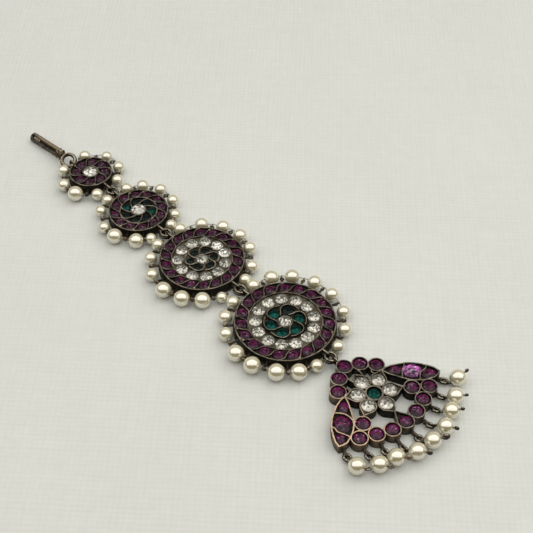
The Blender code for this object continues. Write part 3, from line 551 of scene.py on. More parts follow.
def stone(centre, along, across, turn, girdle, top, lot, sides=16, table=0.52, squircle=2.0, deep=0.7, lean=0.0):
    """A cut stone: girdle, two rows of crown facets and a table, on a hidden taper below."""
    rows = [(0.72, girdle - deep, 0.0), (0.97, girdle - 0.12, 0.0), (1.0, girdle, 0.0),
            (0.5 + 0.5 * table + 0.02, girdle + (top - girdle) * 0.68, 0.5), (table, top, 0.0)]
    points, gem = [], []
    c, s = math.cos(math.radians(turn)), math.sin(math.radians(turn))
    tint = lot % 1.0
    for scale, z, step in rows:
        for k in range(sides):
            angle = 2 * math.pi * (k + step) / sides
            ca, sa = math.cos(angle), math.sin(angle)
            if squircle != 2.0:
                grow = (abs(ca) ** squircle + abs(sa) ** squircle) ** (-1 / squircle)
                ca, sa = ca * grow, sa * grow
            x, y = ca * scale * along, sa * scale * across
            x += lean * y
            tx, ty = c * x - s * y, s * x + c * y
            points.append((centre[0] + tx, centre[1] + ty, z))
            out = math.hypot(tx, ty)
            gem.append((tx / out * scale, ty / out * scale, tint))
    points.append((centre[0], centre[1], top + 0.02))
    gem.append((0.0, 0.0, tint))
    faces = [tuple(range(sides))]
    for level in range(4):
        for k in range(sides):
            m = (k + 1) % sides
            a, b, c2, d = level * sides + k, level * sides + m, (level + 1) * sides + m, (level + 1) * sides + k
            if level == 2:
                faces += [(a, b, d), (b, c2, d)]
            elif level == 3:
                faces += [(a, c2, d), (a, b, c2)]
            else:
                faces.append((a, b, c2, d))
    for k in range(sides):
        faces.append((4 * sides + k, 4 * sides + (k + 1) % sides, 5 * sides))
    return points, faces, gem


def ball(centre, radius, axis, lot, rows=18, around=28, pinch=0.16):
    """A pearl: a sphere that dips at both ends of its bore."""
    axis = Vector(axis).normalized()
    side = axis.orthogonal().normalized()
    across = axis.cross(side)
    points, gem = [], []
    centre = Vector(centre)
    for i in range(rows + 1):
        angle = math.pi * i / rows
        at = -math.cos(angle)
        out = math.sin(angle)
        dip = math.exp(-((1 - abs(at)) / 0.02) ** 0.8) * 0.10
        along = at * (1 - dip)
        if i in (0, rows):
            points.append(centre + axis * radius * along)
            gem.append((lot, lot, lot))
            continue
        for k in range(around):
            turn = 2 * math.pi * k / around
            lump = 1 + 0.012 * noise.noise(Vector((centre.x + out * math.cos(turn) * 1.3, centre.y + at * 1.3, lot * 9 + out * math.sin(turn) * 1.3)))
            points.append(centre + (axis * along + (side * math.cos(turn) + across * math.sin(turn)) * out) * radius * lump)
            gem.append((lot, lot, lot))
    faces = []
    first = 1
    for k in range(around):
        faces.append((0, first + (k + 1) % around, first + k))
    for i in range(rows - 2):
        for k in range(around):
            m = (k + 1) % around
            a, b = first + i * around, first + (i + 1) * around
            faces.append((a + k, a + m, b + m, b + k))
    end = first + (rows - 1) * around
    for k in range(around):
        faces.append((end - around + k, end - around + (k + 1) % around, end))
    return points, faces, gem


def blob(centre, radius, flat=0.8):
    """A small bead of solder."""
    points, faces, _ = ball((0, 0, 0), radius, (0, 0, 1), 0.0, 8, 12)
    return [(centre[0] + p[0], centre[1] + p[1], centre[2] + p[2] * flat) for p in points], faces


# ---------------------------------------------------------------- hook
def hook():
    piece = Piece("hair_hook")
    tip, collar = Vector(HOOK_TIP), Vector(HOOK_COLLAR)
    along = (collar - tip).normalized()
    flat = along.cross(Vector((0, 0, 1))).normalized()
    rise = flat.cross(along).normalized()
    lean = math.radians(40)
    aside = flat * math.cos(lean) - rise * math.sin(lean)
    up = aside.cross(along)
    bend = 0.80
    thick = 0.60
    path = [collar + along * 0.7 - aside * bend * 0.8, collar - aside * bend, collar.lerp(tip, 0.5) - aside * bend * 1.0, tip + along * bend * 1.3 - aside * bend]
    for turn in (-60, -30, 0, 30, 60):
        path.append(tip + along * bend * 1.1 - along * bend * 1.1 * math.cos(math.radians(turn)) + aside * bend * math.sin(math.radians(turn)))
    path += [tip + along * bend * 1.3 + aside * bend, collar.lerp(tip, 0.5) + aside * bend * 1.0, collar + aside * bend, collar + along * 0.7 + aside * bend * 0.8]
    stations = smoothed(path, 0.3)
    radii = [thick * (1 + 0.05 * noise.noise(p * 1.3)) for p in stations]
    points, faces = sweep(stations, radii, 16, start=up)
    # the far arm is painted lighter away from the bend, a painted highlight for the light it catches; its faces take
    # the brown wire with its painted top highlight, and the near arm's faces the darker oxidised metal as painted shade
    far_arm_painted_light = [0.75 * max(0.0, min(1.0, (0.25 - (p - tip).dot(aside)) / 0.5)) * max(0.0, min(1.0, ((p - tip).dot(along) - 1.0) / 2.0)) for p in points]
    far_arm_lit_slots = [4 if sum((points[i] - tip).dot(aside) for i in face) < 0.25 * len(face) else 0 for face in faces]
    piece.add(points, faces, slot=far_arm_lit_slots, wear=[0.65 * lightness for lightness in far_arm_painted_light])
    # a third, dark wire lies low between the arms, a painted shade that fills the gap between them
    core = [collar + along * 0.5 - up * 0.12, collar.lerp(tip, 0.5) - up * 0.16, collar.lerp(tip, 0.72) - up * 0.16]
    piece.add(*wire(core, 0.36, 10, 0.3), slot=2)
    # the wire's own end is curled up between the arms, near the bend
    middle = tip + along * 2.4
    curl = [middle + along * (0.62 * math.cos(math.radians(a))) + aside * 0.16 * math.sin(math.radians(a)) + up * (0.22 + a * 0.0006) for a in range(20, 350, 30)]
    piece.add(*wire(curl, 0.26, 8, 0.15), slot=4, wear=0.8)
    # wraps that bind the arms
    for start_at, turns, wrap_wire in ((-0.62, 1.2, 0.27), (0.68, 1.2, 0.25)):
        wrap = []
        steps = int(turns * 16)
        for k in range(steps + 1):
            angle = 2 * math.pi * k / 16 + 0.6
            wrap.append(collar + along * (start_at + 0.58 * k / 16) + aside * math.cos(angle) * 1.32 + up * math.sin(angle) * 0.74)
        piece.add(*wire(wrap, wrap_wire, 10, 0.25), slot=4, wear=0.3)
    eye = Matrix.Translation(Vector(HOOK_EYE)) @ Matrix.Rotation(math.radians(HOOK_EYE_TILT), 4, polar(1, HOOK_EYE_TURN))
    back = eye @ polar(HOOK_EYE_RING, 180)
    piece.add(*sweep(smoothed([collar + along * 0.5, collar + along * 1.4, back + (collar - back) * 0.12], 0.2), 0.6, 12), slot=4)
    piece.add(*wire(ring_path(HOOK_EYE_RING, 40, eye), 0.56, 14, 0.3, closed=True), slot=4, wear=0.08)
    # the eye's free end laps over its start
    lap = ring_path(HOOK_EYE_RING + 0.12, 12, eye @ Matrix.Translation((0, 0, 0.4)), 140, 245)
    piece.add(*wire(lap, 0.3, 10, 0.2), slot=4, wear=0.3)
    return piece.make(METALS, ["hook"])


# ---------------------------------------------------------------- discs
def spiral(spots, base, pitch, inner, outer, step=0.28):
    """A ribbon's path from pairs (share of the pitch, share of the depth)."""
    path = []
    fine = smoothed([(a, b, 0) for a, b in spots], 0.04)
    for p in fine:
        radius = inner + (outer - inner) * p.y
        path.append(polar(radius, base + pitch * p.x))
    out = [path[0]]
    for p in path[1:]:
        if (p - out[-1]).length >= step:
            out.append(p)
    return out


PURPLE_RIBBON = [(1.42, -0.10), (1.15, -0.15), (0.85, -0.155), (0.52, -0.12), (0.29, -0.03), (0.16, 0.11), (0.07, 0.30), (0.0, 0.53), (-0.075, 0.74), (-0.165, 0.91), (-0.29, 1.03), (-0.48, 1.10)]
GREEN_RIBBON = [(0.30, -0.02), (0.18, 0.09), (0.05, 0.28), (0.0, 0.48), (-0.10, 0.74), (-0.24, 0.95), (-0.42, 1.06), (-0.62, 1.06), (-0.86, 1.02), (-1.04, 0.97)]
SWIRL_RIBBON = [(0.34, -0.04), (0.20, 0.12), (0.04, 0.38), (-0.06, 0.62), (-0.18, 0.86), (-0.36, 1.04), (-0.6, 1.14)]
STONE_SHAPE = {   # tangential and radial half lengths as shares of the cell, turn against the tangent
    (1, "purple"): (0.455, 0.505, -6), (2, "purple"): (0.405, 0.575, -3), (2, "green"): (0.47, 0.42, -14),
    (3, "purple"): (0.405, 0.575, -3), (3, "clear"): (0.475, 0.54, 0), (3, "green"): (0.36, 0.40, -12),
    (4, "purple"): (0.410, 0.575, -3), (4, "clear"): (0.480, 0.49, 0), (4, "green"): (0.475, 0.47, -8),
}
# clear stones, by angle, that take the brighter tipped copy of the clear material, a painted highlight
TIPPED_AND_BRIGHT = {1: (), 2: (), 3: (103, 66), 4: ()}
CENTRES = {1: (2.15, 2.0, 3.15, 3.75, 20), 2: (2.0, 1.95, 3.4, 4.1, 0), 3: (1.75, 1.62, 2.95, 3.42, 0), 4: (1.80, 1.75, 2.95, 3.5, 0)}
CENTRE_COLLAR = {1: 2.18, 2: 2.04, 3: 1.76, 4: 1.86}
NODE_OF = {"purple": "purple_stones", "green": "green_stones", "clear": "clear_stones"}


def pearl_rows(number, side):
    radius = DISCS[number][2]
    rows = []
    for angle, size, out in PEARLS[(number, side)]:
        ball_radius = size * 0.54
        rows.append((polar(radius + out, angle, max(WIRE_HEIGHT, ball_radius + 0.01)), ball_radius))
    sign = 1 if side == "left" else -1
    first, last = PEARLS[(number, side)][0], PEARLS[(number, side)][-1]
    lead = polar(radius + first[2] - 0.2, first[0] - sign * math.degrees((first[1] / 2 + 0.42) / (radius + 2.2)), WIRE_HEIGHT)
    tail = polar(radius + last[2] - 0.2, last[0] + sign * math.degrees((last[1] / 2 + 0.42) / (radius + 2.2)), WIRE_HEIGHT)
    return rows, lead, tail


def disc(number):
    x, y, radius = DISCS[number]
    seat = Matrix.Translation(Vector((x, y, 0)))
    setting = Piece(f"disc_{number}_setting", seat)
    # closed back with a shallow step, and the outer ribbon
    around = {1: 72, 2: 88, 3: 112, 4: 128}[number]
    setting.add(*lathe([(0, 0.16), (radius * 0.93, 0.16), (radius * 0.945, 0.02), (radius - 0.1, 0.02), (radius - 0.06, 0.9), (0, 0.9)], around), slot=0)
    rim = [polar(radius - 0.22, 360 * k / around) for k in range(around)]
    setting.add(*ribbon(rim, 0.05, 3.28, 0.29, closed=True, waver=0.09, seed=number, sides=(2, 2)))
    # a wire that runs round the foot of the outer ribbon
    setting.add(*sweep([polar(radius + 0.02, 360 * k / around, 0.55) for k in range(around)], 0.22, 8, closed=True))
    # dark filling, a little lower than the ribbons
    setting.add(*lathe([(0, 0.8), (radius - 0.3, 0.8), (radius - 0.3, 2.5), (0, 2.5)], around), slot=3)
    # brown metal under the clear stones, and the ring between two rings of stones
    for colour, count, inner, outer, turn in STONE_RINGS[number]:
        if colour == "clear":
            setting.add(*lathe([(0, 2.4), (outer + 0.35, 2.4), (outer + 0.45, 2.74), (inner + 0.9, 2.80), (inner + 0.2, 2.62), (0, 2.62)], around), slot=5 if number == 3 else [5] * (around * 4) + [2] * around)
    if number == 2:
        setting.add(*ribbon([polar(5.12, 360 * k / 60) for k in range(60)], 1.2, 3.16, 0.26, closed=True, waver=0.1, seed=9.0))
    # ribbons between the stones
    for colour, count, inner, outer, turn in STONE_RINGS[number]:
        pitch = 360 / count
        gems = Piece(f"disc_{number}_{colour}_gems", seat)
        along, across, skew = STONE_SHAPE[(number, colour)]
        if number == 1:
            inner = 2.62   # its big centre stone takes more room
        middle = (inner + outer) / 2
        cell = 2 * math.pi * middle / count
        depth = outer - inner
        for k in range(count):
            angle = turn + pitch * k
            wobble = chance.uniform(-1, 1)
            spot = polar(middle + 0.05 * chance.uniform(-1, 1), angle + pitch * 0.02 * wobble)
            lot = chance.random()
            heading = angle + 90 + skew + 4 * wobble
            if colour == "clear":
                size = cell * along
                shape = stone(spot, size, size * 0.98, chance.uniform(0, 360), 2.78 + 0.06 * wobble, 3.32 + 0.07 * wobble, lot, 16, 0.5)
                # the listed stones take the brighter tipped copy, a painted highlight
                slot_of = 1 if any(abs((angle - a + 180) % 360 - 180) < pitch / 2 for a in TIPPED_AND_BRIGHT[number]) else 0
            elif colour == "purple":
                shape = stone(spot, cell * along, depth * across, heading, 2.74 + 0.05 * wobble, 3.12 + 0.06 * wobble, lot, 14, 0.55, 2.25)
                slot_of = 0
            else:
                shape = stone(spot, cell * along, depth * across, heading, 2.72 + 0.05 * wobble, 3.12 + 0.06 * wobble, lot, 12, 0.5, 2.0)
                slot_of = 1 if number == 3 or (number == 2 and k not in (1, 4)) or (number == 4 and k == 2) else 0
            points, faces, gem = shape
            gems.add(points, faces, slot=slot_of, smooth=False, gem=gem)
            base = angle - pitch / 2
            if colour == "purple":
                path = spiral(PURPLE_RIBBON, base, pitch, inner, outer)
                setting.add(*ribbon(path, 1.2, 3.20, 0.22, waver=0.10, seed=k * 1.7 + number))
                if chance.random() < 0.3:
                    # solder left in the corner where the ribbon meets the rim
                    setting.add(*blob(polar(outer - 0.16, base - pitch * 0.16, 2.95), 0.30, 0.8), slot=1, wear=0.5)
            elif colour == "green":
                path = spiral(SWIRL_RIBBON if number == 2 else GREEN_RIBBON, base, pitch, inner, outer)
                setting.add(*ribbon(path, 1.2, 3.18, 0.36 if number == 3 else 0.26, waver=0.10, seed=k * 2.3 + number))
        materials = {"purple": [PURPLE], "green": [GREEN, DARKGREEN], "clear": [CLEAR, FLASH]}[colour]
        gems.make(materials,
                  [f"disc_{number}_{NODE_OF[colour]}"], sharp=10)
        if colour == "clear":
            # two small claws by each clear stone, one on its inner side and one on its outer side
            for k in range(count * 2):
                angle = turn + pitch * k / 2
                for r in (inner + 0.12, outer - 0.15):
                    if k % 2 == 0:
                        setting.add(*blob(polar(r + 0.25 * (1 if r < middle else -1), angle, 2.75), 0.27, 1.2), slot=1)
    # centre stone in its collar
    along, across, girdle, top, turn = CENTRES[number]
    centre = Piece(f"disc_{number}_centre_gem", seat)
    points, faces, gem = stone((0, 0), along, across, turn, girdle, top, 0.31 * number, 16, 0.5, deep=1.0)
    centre.add(points, faces, smooth=False, gem=gem)
    # the centre stones of discs 1 and 2 take the brighter tipped copy, a painted highlight
    centre.make([FLASH if number < 3 else CLEAR], [f"disc_{number}_centre_stone"], sharp=10)
    collar = [polar(CENTRE_COLLAR[number], 360 * k / 40) for k in range(40)]
    setting.add(*ribbon(collar, 1.2, girdle - 0.12, 0.22, closed=True, waver=0.05, seed=3.3))
    # pearls on their wire, and the eyelets that hold it
    for side in ("left", "right"):
        rows, lead, tail = pearl_rows(number, side)
        pearls = Piece(f"disc_{number}_pearl_row_{side}", seat)
        threads = Piece(f"disc_{number}_thread_{side}", seat)
        stops = [lead] + [spot for spot, _ in rows] + [tail]
        path = [lead]
        crossings = []
        for i, (spot, size) in enumerate(rows):
            along_wire = (stops[i + 2] - stops[i]).normalized()
            pearls.add(*_gem_ball(spot, size, along_wire))
            path += [spot - along_wire * size * 1.02, spot, spot + along_wire * size * 1.02]
            if i:
                crossings.append((before + (spot - along_wire * size)) / 2)
            before = spot + along_wire * size
        path.append(tail)
        threads.add(*wire(path, 0.085, 8, 0.3), slot=4)
        for end, spot in ((lead, rows[0][0]), (tail, rows[-1][0])):
            # the wire's end is curled back on itself
            out = (end - spot).normalized()
            inward = Vector((-end.x, -end.y, 0)).normalized()
            curl = [end - out * 0.2, end + out * 0.1, end + out * 0.3 + inward * 0.25, end + out * 0.05 + inward * 0.5, end - out * 0.2 + inward * 0.35, end - out * 0.15 + inward * 0.1 + Vector((0, 0, 0.25))]
            threads.add(*wire(curl, 0.15, 8, 0.12), slot=4, wear=0.1)
        for k, spot in enumerate(crossings):
            angle = math.degrees(math.atan2(spot.y, spot.x))
            distance = math.hypot(spot.x, spot.y)
            eyelet(setting, radius, angle, distance)
            # a turn of fine wire round the crossing
            tangent = polar(1, angle + 90)
            wrap = []
            for j in range(20):
                a = 2 * math.pi * j / 10
                wrap.append(spot + tangent * (-0.16 + 0.32 * j / 19) + polar(0.2 * math.cos(a), angle) + Vector((0, 0, 0.2 * math.sin(a))))
            threads.add(*wire(wrap, 0.07, 6, 0.12), slot=4, wear=0.1)
        made = pearls.make([PEARL], [f"disc_{number}_pearls_{side}"], sharp=60)
        thread = threads.make(METALS)
        thread.parent = made
        thread.matrix_world = Matrix.Identity(4)
    # end loops
    for angle, reach in LOOPS[number]:
        half = 0.86
        loop = [polar(radius - 0.2, angle, LINK_HEIGHT + half), polar(reach - 0.45, angle, LINK_HEIGHT + half), polar(reach - 0.08, angle, LINK_HEIGHT + half * 0.55), polar(reach, angle, LINK_HEIGHT),
                polar(reach - 0.08, angle, LINK_HEIGHT - half * 0.55), polar(reach - 0.45, angle, LINK_HEIGHT - half), polar(radius - 0.2, angle, LINK_HEIGHT - half)]
        setting.add(*wire(loop, 0.38, 12, 0.2, blunt=False, start=polar(1, angle + 90)), slot=4, wear=0.05)
        for z in (half, -half):
            setting.add(*blob(polar(radius + 0.05, angle, LINK_HEIGHT + z), 0.42, 0.9), slot=0, wear=0.2)
    return setting.make(METALS, [f"disc_{number}_case"])


def eyelet(setting, radius, angle, distance):
    """A wire eyelet: two legs from the case, drawn together and opened into a small twisted ring."""
    size = 0.45
    far = max(0.0, math.cos(math.radians(angle - 137)))
    middle = polar(distance - 0.38 - 0.55 * far, angle, WIRE_HEIGHT + chance.uniform(-0.05, 0.12))
    up = Vector((0, 0, 1))
    across = polar(1, 47 + chance.uniform(-45, 45))
    ring = []
    for k in range(15):
        a = math.radians(158 - 316 * k / 14)
        ring.append(middle + across * size * math.cos(a) + up * size * math.sin(a))
    setting.add(*wire(ring, 0.235, 9, 0.14, start=up), slot=4, wear=0.05 + 0.35 * chance.random())
    for spot, rise in ((ring[0], 0.16), (ring[-1], -0.16)):
        leg = [polar(radius - 0.12, angle) + up * (WIRE_HEIGHT + rise), polar((radius + distance) / 2 - 0.4, angle) + up * (WIRE_HEIGHT + rise * 0.8), spot]
        # legs on the front side take the blackened material as painted shade
        setting.add(*wire(leg, 0.26, 8, 0.2, blunt=False, start=polar(1, angle + 90)), slot=2 if math.cos(math.radians(angle - 137)) < -0.55 else 0, wear=0.05)


def _gem_ball(spot, size, axis):
    points, faces, gem = ball(spot, size, axis, chance.random())
    return points, faces, 0, True, gem


LOOPS = {number: [] for number in DISCS}
LINKS = {}
for number in (1, 2, 3):
    spot, heading, gap = between(number, number + 1)
    LOOPS[number].append((heading, DISCS[number][2] + gap / 2 - 0.73))
    LOOPS[number + 1].append((heading + 180, DISCS[number + 1][2] + gap / 2 - 0.73))
    LINKS[f"link_{number}_{number + 1}"] = (spot, heading)
pendant_edge = PENDANT_SEAT @ Vector((ARM_CUPS[2][0] - CUP, 0, 0))
heading = bearing(DISCS[4], pendant_edge)
pendant_gap = math.dist(DISCS[4][:2], pendant_edge[:2]) - DISCS[4][2]
LOOPS[4].append((heading, DISCS[4][2] + pendant_gap / 2 - 0.73))
LINKS["link_4_pendant"] = (Vector((DISCS[4][0], DISCS[4][1], LINK_HEIGHT)) + polar(DISCS[4][2] + pendant_gap / 2, heading), heading)
LOOPS[1].append((bearing(DISCS[1], HOOK_EYE), DISCS[1][2] + 2.0))


def link(name, spot, heading):
    """A jump ring of wire that goes round nearly twice."""
    piece = Piece(f"jump_ring_{name[5:]}", Matrix.Translation(spot) @ Matrix.Rotation(math.radians(-10.0), 4, polar(1, heading)))
    cut = heading + 60
    path = [polar(LINK_RING - 0.03, cut + 640 * k / 64) + Vector((0, 0, -0.36 + 0.72 * min(1.0, max(0.0, (k - 22) / 20)))) for k in range(65)]
    piece.add(*wire(path, LINK_WIRE + 0.06, 12, 0.22), slot=4, wear=0.03)
    return piece.make(METALS, [name])


# ---------------------------------------------------------------- pendant
def circle(centre, radius, count=40):
    return [Vector((centre[0] + radius * math.cos(2 * math.pi * k / count), centre[1] + radius * math.sin(2 * math.pi * k / count), 0)) for k in range(count)]


def drop_outline(centre, radius, tip, count=30):
    away = Vector((tip[0] - centre[0], tip[1] - centre[1]))
    reach, heading = away.length, math.atan2(away.y, away.x)
    open_by = math.acos(min(0.98, radius / reach))
    points = []
    for k in range(count):
        angle = heading + open_by + (2 * math.pi - 2 * open_by) * k / (count - 1)
        points.append(Vector((centre[0] + radius * math.cos(angle), centre[1] + radius * math.sin(angle), 0)))
    last, first = points[-1], points[0]
    tip = Vector((tip[0], tip[1], 0))
    steps = max(2, int((tip - last).length / 0.35))
    before = [last.lerp(tip, k / steps) for k in range(1, steps)]
    after = [tip.lerp(first, k / steps) for k in range(1, steps)]
    return points + before + [tip] + after


def even(outline, step=0.35):
    """An outline's stations about one step apart, its corners kept."""
    out = []
    count = len(outline)
    for i in range(count):
        a, b = Vector((*outline[i][:2], 0)), Vector((*outline[(i + 1) % count][:2], 0))
        pieces = max(1, round((b - a).length / step))
        out += [a.lerp(b, k / pieces) for k in range(pieces)]
    return out


def shrink(outline, distance):
    count = len(outline)
    area = sum(outline[i][0] * outline[(i + 1) % count][1] - outline[(i + 1) % count][0] * outline[i][1] for i in range(count))
    sign = 1 if area > 0 else -1
    out = []
    for i in range(count):
        before, here, after = (Vector(outline[(i + k) % count][:2]) for k in (-1, 0, 1))
        one, two = (here - before).normalized(), (after - here).normalized()
        normal = Vector((-(one + two).y, (one + two).x)).normalized() * sign
        first = Vector((-one.y, one.x)) * sign
        spot = here + normal * distance / max(0.5, normal.dot(first))
        out.append(Vector((spot.x, spot.y, 0)))
    return out


def pendant():
    frame_piece = Piece("pendant_setting", PENDANT_SEAT)
    thick = 0.27

    def lightening(u, v):
        """Lighter towards the front of the pendant, in patches."""
        return max(0.0, min(1.0, (-v - 2.0) / 7.5 + 0.02 * (u - 6))) * (0.6 + 0.8 * abs(noise.noise(Vector((u * 0.5, v * 0.5, 3.0)))))

    def cup(outline, high=FRAME_HEIGHT, floor=2.1, seed=0.0, outside=0, broad=0.27, fill=3):
        outline = shrink(outline, thick / 2)
        mid = sum((p for p in outline), Vector()) / len(outline)
        points, faces, slots = ribbon(outline, 0.03, high, broad, closed=True, waver=0.10, seed=seed, sides=(2, outside))
        lightness = lightening(mid.x, mid.y)
        frame_piece.add(points, faces, slots, wear=[(lightening(p[0], p[1]) if p[2] > high - 0.2 else lightness * 0.04) for p in points])
        frame_piece.add(*slab(shrink(outline, 0.02), 0.06, floor), slot=fill)

    for k, spot in enumerate(ARM_CUPS + RIM_CUPS[:3] + RIM_CUPS[4:] + INNER_CUPS):
        cup(circle(spot, CUP), seed=k * 1.3, high=FRAME_HEIGHT + 0.05 * math.sin(k * 2.1), outside=2 if k > 10 else 0)
    cup(drop_outline(RIM_CUPS[3], CUP, CUP_POINT), seed=21.0)
    cup(circle(FLOWER, GREEN_CUP), seed=22.0, high=FRAME_HEIGHT + 0.05, outside=2, broad=0.46, fill=5)
    for k, angle in enumerate(PETALS):
        centre = Vector(FLOWER) + polar(PETAL_REACH, angle).xy
        end = Vector(FLOWER) + polar(PETAL_TIP, angle).xy
        cup(drop_outline(centre, CUP, end), seed=30.0 + k, outside=2, floor=2.35, fill=5)
    for flip in (1, -1):
        outline = [(u, v * flip) for u, v in WING]
        if flip < 0:
            outline.reverse()
        soft = smoothed([Vector((u, v, 0)) for u, v in outline], 0.4, closed=True)
        keen = []
        for p in even(outline):
            nearest = min(soft, key=lambda s: (s - p).length)
            corner = min((p - Vector((c[0], c[1] * flip, 0))).length for c in (WING[0], WING[5], WING[6]))
            keen.append(nearest.lerp(p, max(0.0, min(1.0, 1.4 - corner / 1.2))))
        cup(keen, seed=40.0 + flip, floor=2.05, outside=2 if flip > 0 else 0, broad=0.30 if flip > 0 else 0.36)
        for path in WING_RIBBONS[flip]:
            mid = path[len(path) // 2]
            points, faces, slots = ribbon(smoothed([Vector((u, v, 0)) for u, v in path], 0.28), 1.2, FRAME_HEIGHT - 0.03, 0.30, waver=0.12, seed=50.0 + flip)
            lightness = lightening(*mid)
            frame_piece.add(points, faces, slots, wear=[lightness if p[2] > 2.6 else 0.0 for p in points])
    for path in RIBS:
        path = smoothed([Vector((*p, 0)) for p in path], 0.25)
        frame_piece.add(*ribbon(path, 0.05, FRAME_HEIGHT - 0.06, 0.32, waver=0.1, seed=60.0, sides=(2, 2)))
    # loop at the top
    start = ARM_CUPS[2][0] - CUP
    reach = pendant_gap / 2 - 0.73
    loop = [(start + 0.2, 0.86), (start - reach + 0.45, 0.86), (start - reach + 0.08, 0.47), (start - reach, 0), (start - reach + 0.08, -0.47), (start - reach + 0.45, -0.86), (start + 0.2, -0.86)]
    frame_piece.add(*wire([Vector((u, 0, LINK_HEIGHT + z)) for u, z in loop], 0.34, 12, 0.2, blunt=False, start=Vector((0, 1, 0))), slot=4, wear=0.1)
    # eyelets of the drops
    for carrier, root, held, _, _, _ in DROPS:
        away = (Vector(held) - Vector(carrier)).normalized()
        reach = (Vector(held) - Vector(carrier)).length - DROP_RING + 0.48
        stations = [(root, 0.50), (reach - 0.5, 0.50), (reach - 0.12, 0.36), (reach, 0.0), (reach - 0.12, -0.36), (reach - 0.5, -0.48), (root, -0.48)]
        path = [Vector((carrier[0] + away.x * out, carrier[1] + away.y * out, DROP_RING_HEIGHT + z)) for out, z in stations]
        frame_piece.add(*wire(path, 0.33, 10, 0.16, blunt=False, start=Vector((-away.y, away.x, 0))), slot=0, wear=0.05)
    # beads of solder where cups meet
    for (u, v), size in SOLDER:
        frame_piece.add(*blob((u, v, FRAME_HEIGHT - 0.12), size, 0.7), slot=1, wear=lightening(u, v))
    frame_piece.make(METALS, ["pendant_frame"])

    green = Piece("pendant_centre_gem", PENDANT_SEAT)
    points, faces, gem = stone(FLOWER, 1.72, 1.66, 10, 2.45, 2.86, 0.37, 14, 0.5)
    green.add(points, faces, smooth=False, gem=gem)
    green.make([GREEN], ["pendant_centre_stone"], sharp=10)
    for k, angle in enumerate(PETALS):
        centre = Vector(FLOWER) + polar(PETAL_REACH - 0.1, angle).xy
        petal = Piece(f"petal_gem_{k + 1}", PENDANT_SEAT)
        points, faces, gem = stone(centre, 1.78, 1.76, chance.uniform(0, 90), 2.66, 3.22, 0.17 * k + 0.05, 16, 0.5, deep=0.9)
        petal.add(points, faces, smooth=False, gem=gem)
        petal.make([CLEAR], [f"petal_stone_{k + 1}"], sharp=10)
    for name, node, spots in (("arm_gems", "arm_stones", ARM_CUPS), ("rim_gems", "rim_stones", RIM_CUPS + INNER_CUPS)):
        piece = Piece(name, PENDANT_SEAT)
        for spot in spots:
            size = 1.70 + chance.uniform(-0.03, 0.03)
            points, faces, gem = stone(spot, size, size, chance.uniform(0, 90), 2.40 + chance.uniform(-0.06, 0.06), 2.76, chance.random(), 16, 0.55)
            piece.add(points, faces, smooth=False, gem=gem)
        piece.make([PURPLE], [node], sharp=10)
    for flip, side in ((1, "right_of_photo"), (-1, "left_of_photo")):
        node = "wing_stones_left" if flip > 0 else "wing_stones_right"
        piece = Piece("wing_gems_left" if flip > 0 else "wing_gems_right", PENDANT_SEAT)
        for k, (u, v, along, across, turn) in enumerate(WING_GEMS[flip]):
            points, faces, gem = stone((u, v), along, across, turn, 2.42, 2.9 if k == 1 else 2.78, chance.random(), 16, 0.5, 2.0)
            piece.add(points, faces, slot=1 if (flip > 0 and k == 1) else 0, smooth=False, gem=gem)
        piece.make([PURPLE, MAGENTA], [node], sharp=10)


RIBS = [[(-5.0, 1.75), (-4.3, 1.85), (-3.6, 1.7), (-3.15, 1.45)], [(-5.0, -1.75), (-4.3, -1.85), (-3.6, -1.7), (-3.15, -1.45)],
        [(-3.0, 4.3), (-2.4, 3.9), (-1.9, 4.2)], [(-3.0, -4.3), (-2.4, -3.9), (-1.9, -4.2)],
        [(5.55, 6.5), (5.5, 6.9), (5.75, 7.2)], [(5.55, -6.5), (5.5, -6.9), (5.75, -7.2)]]
WING_RIBBONS = {
    1: [[(0.85, 11.75), (1.4, 11.0), (1.9, 10.0), (2.9, 9.0), (3.7, 8.3)], [(4.75, 15.45), (5.2, 14.4), (5.2, 13.0), (6.1, 11.9), (6.9, 11.1)]],
    -1: [[(0.3, -11.5), (0.95, -10.65), (2.1, -9.7), (3.4, -9.3), (4.75, -9.35), (5.6, -9.8)], [(2.9, -14.4), (3.7, -14.1), (4.6, -14.25), (5.3, -14.1), (6.3, -13.56), (7.2, -13.2), (7.8, -13.1)]],
}
WING_GEMS = {
    1: [(0.75, 8.75, 1.85, 1.30, 58), (3.45, 11.75, 2.45, 2.0, 50), (6.75, 14.3, 1.75, 1.45, 55)],
    -1: [(0.80, -8.45, 1.70, 1.25, -50), (4.0, -11.95, 2.55, 2.05, -45), (6.75, -14.95, 1.55, 1.20, -30)],
}
SOLDER = [((7.9, -10.2), 0.32), ((7.9, 10.2), 0.32), ((4.9, 2.1), 0.24), ((4.9, -2.1), 0.24), ((5.4, -9.3), 0.4)]


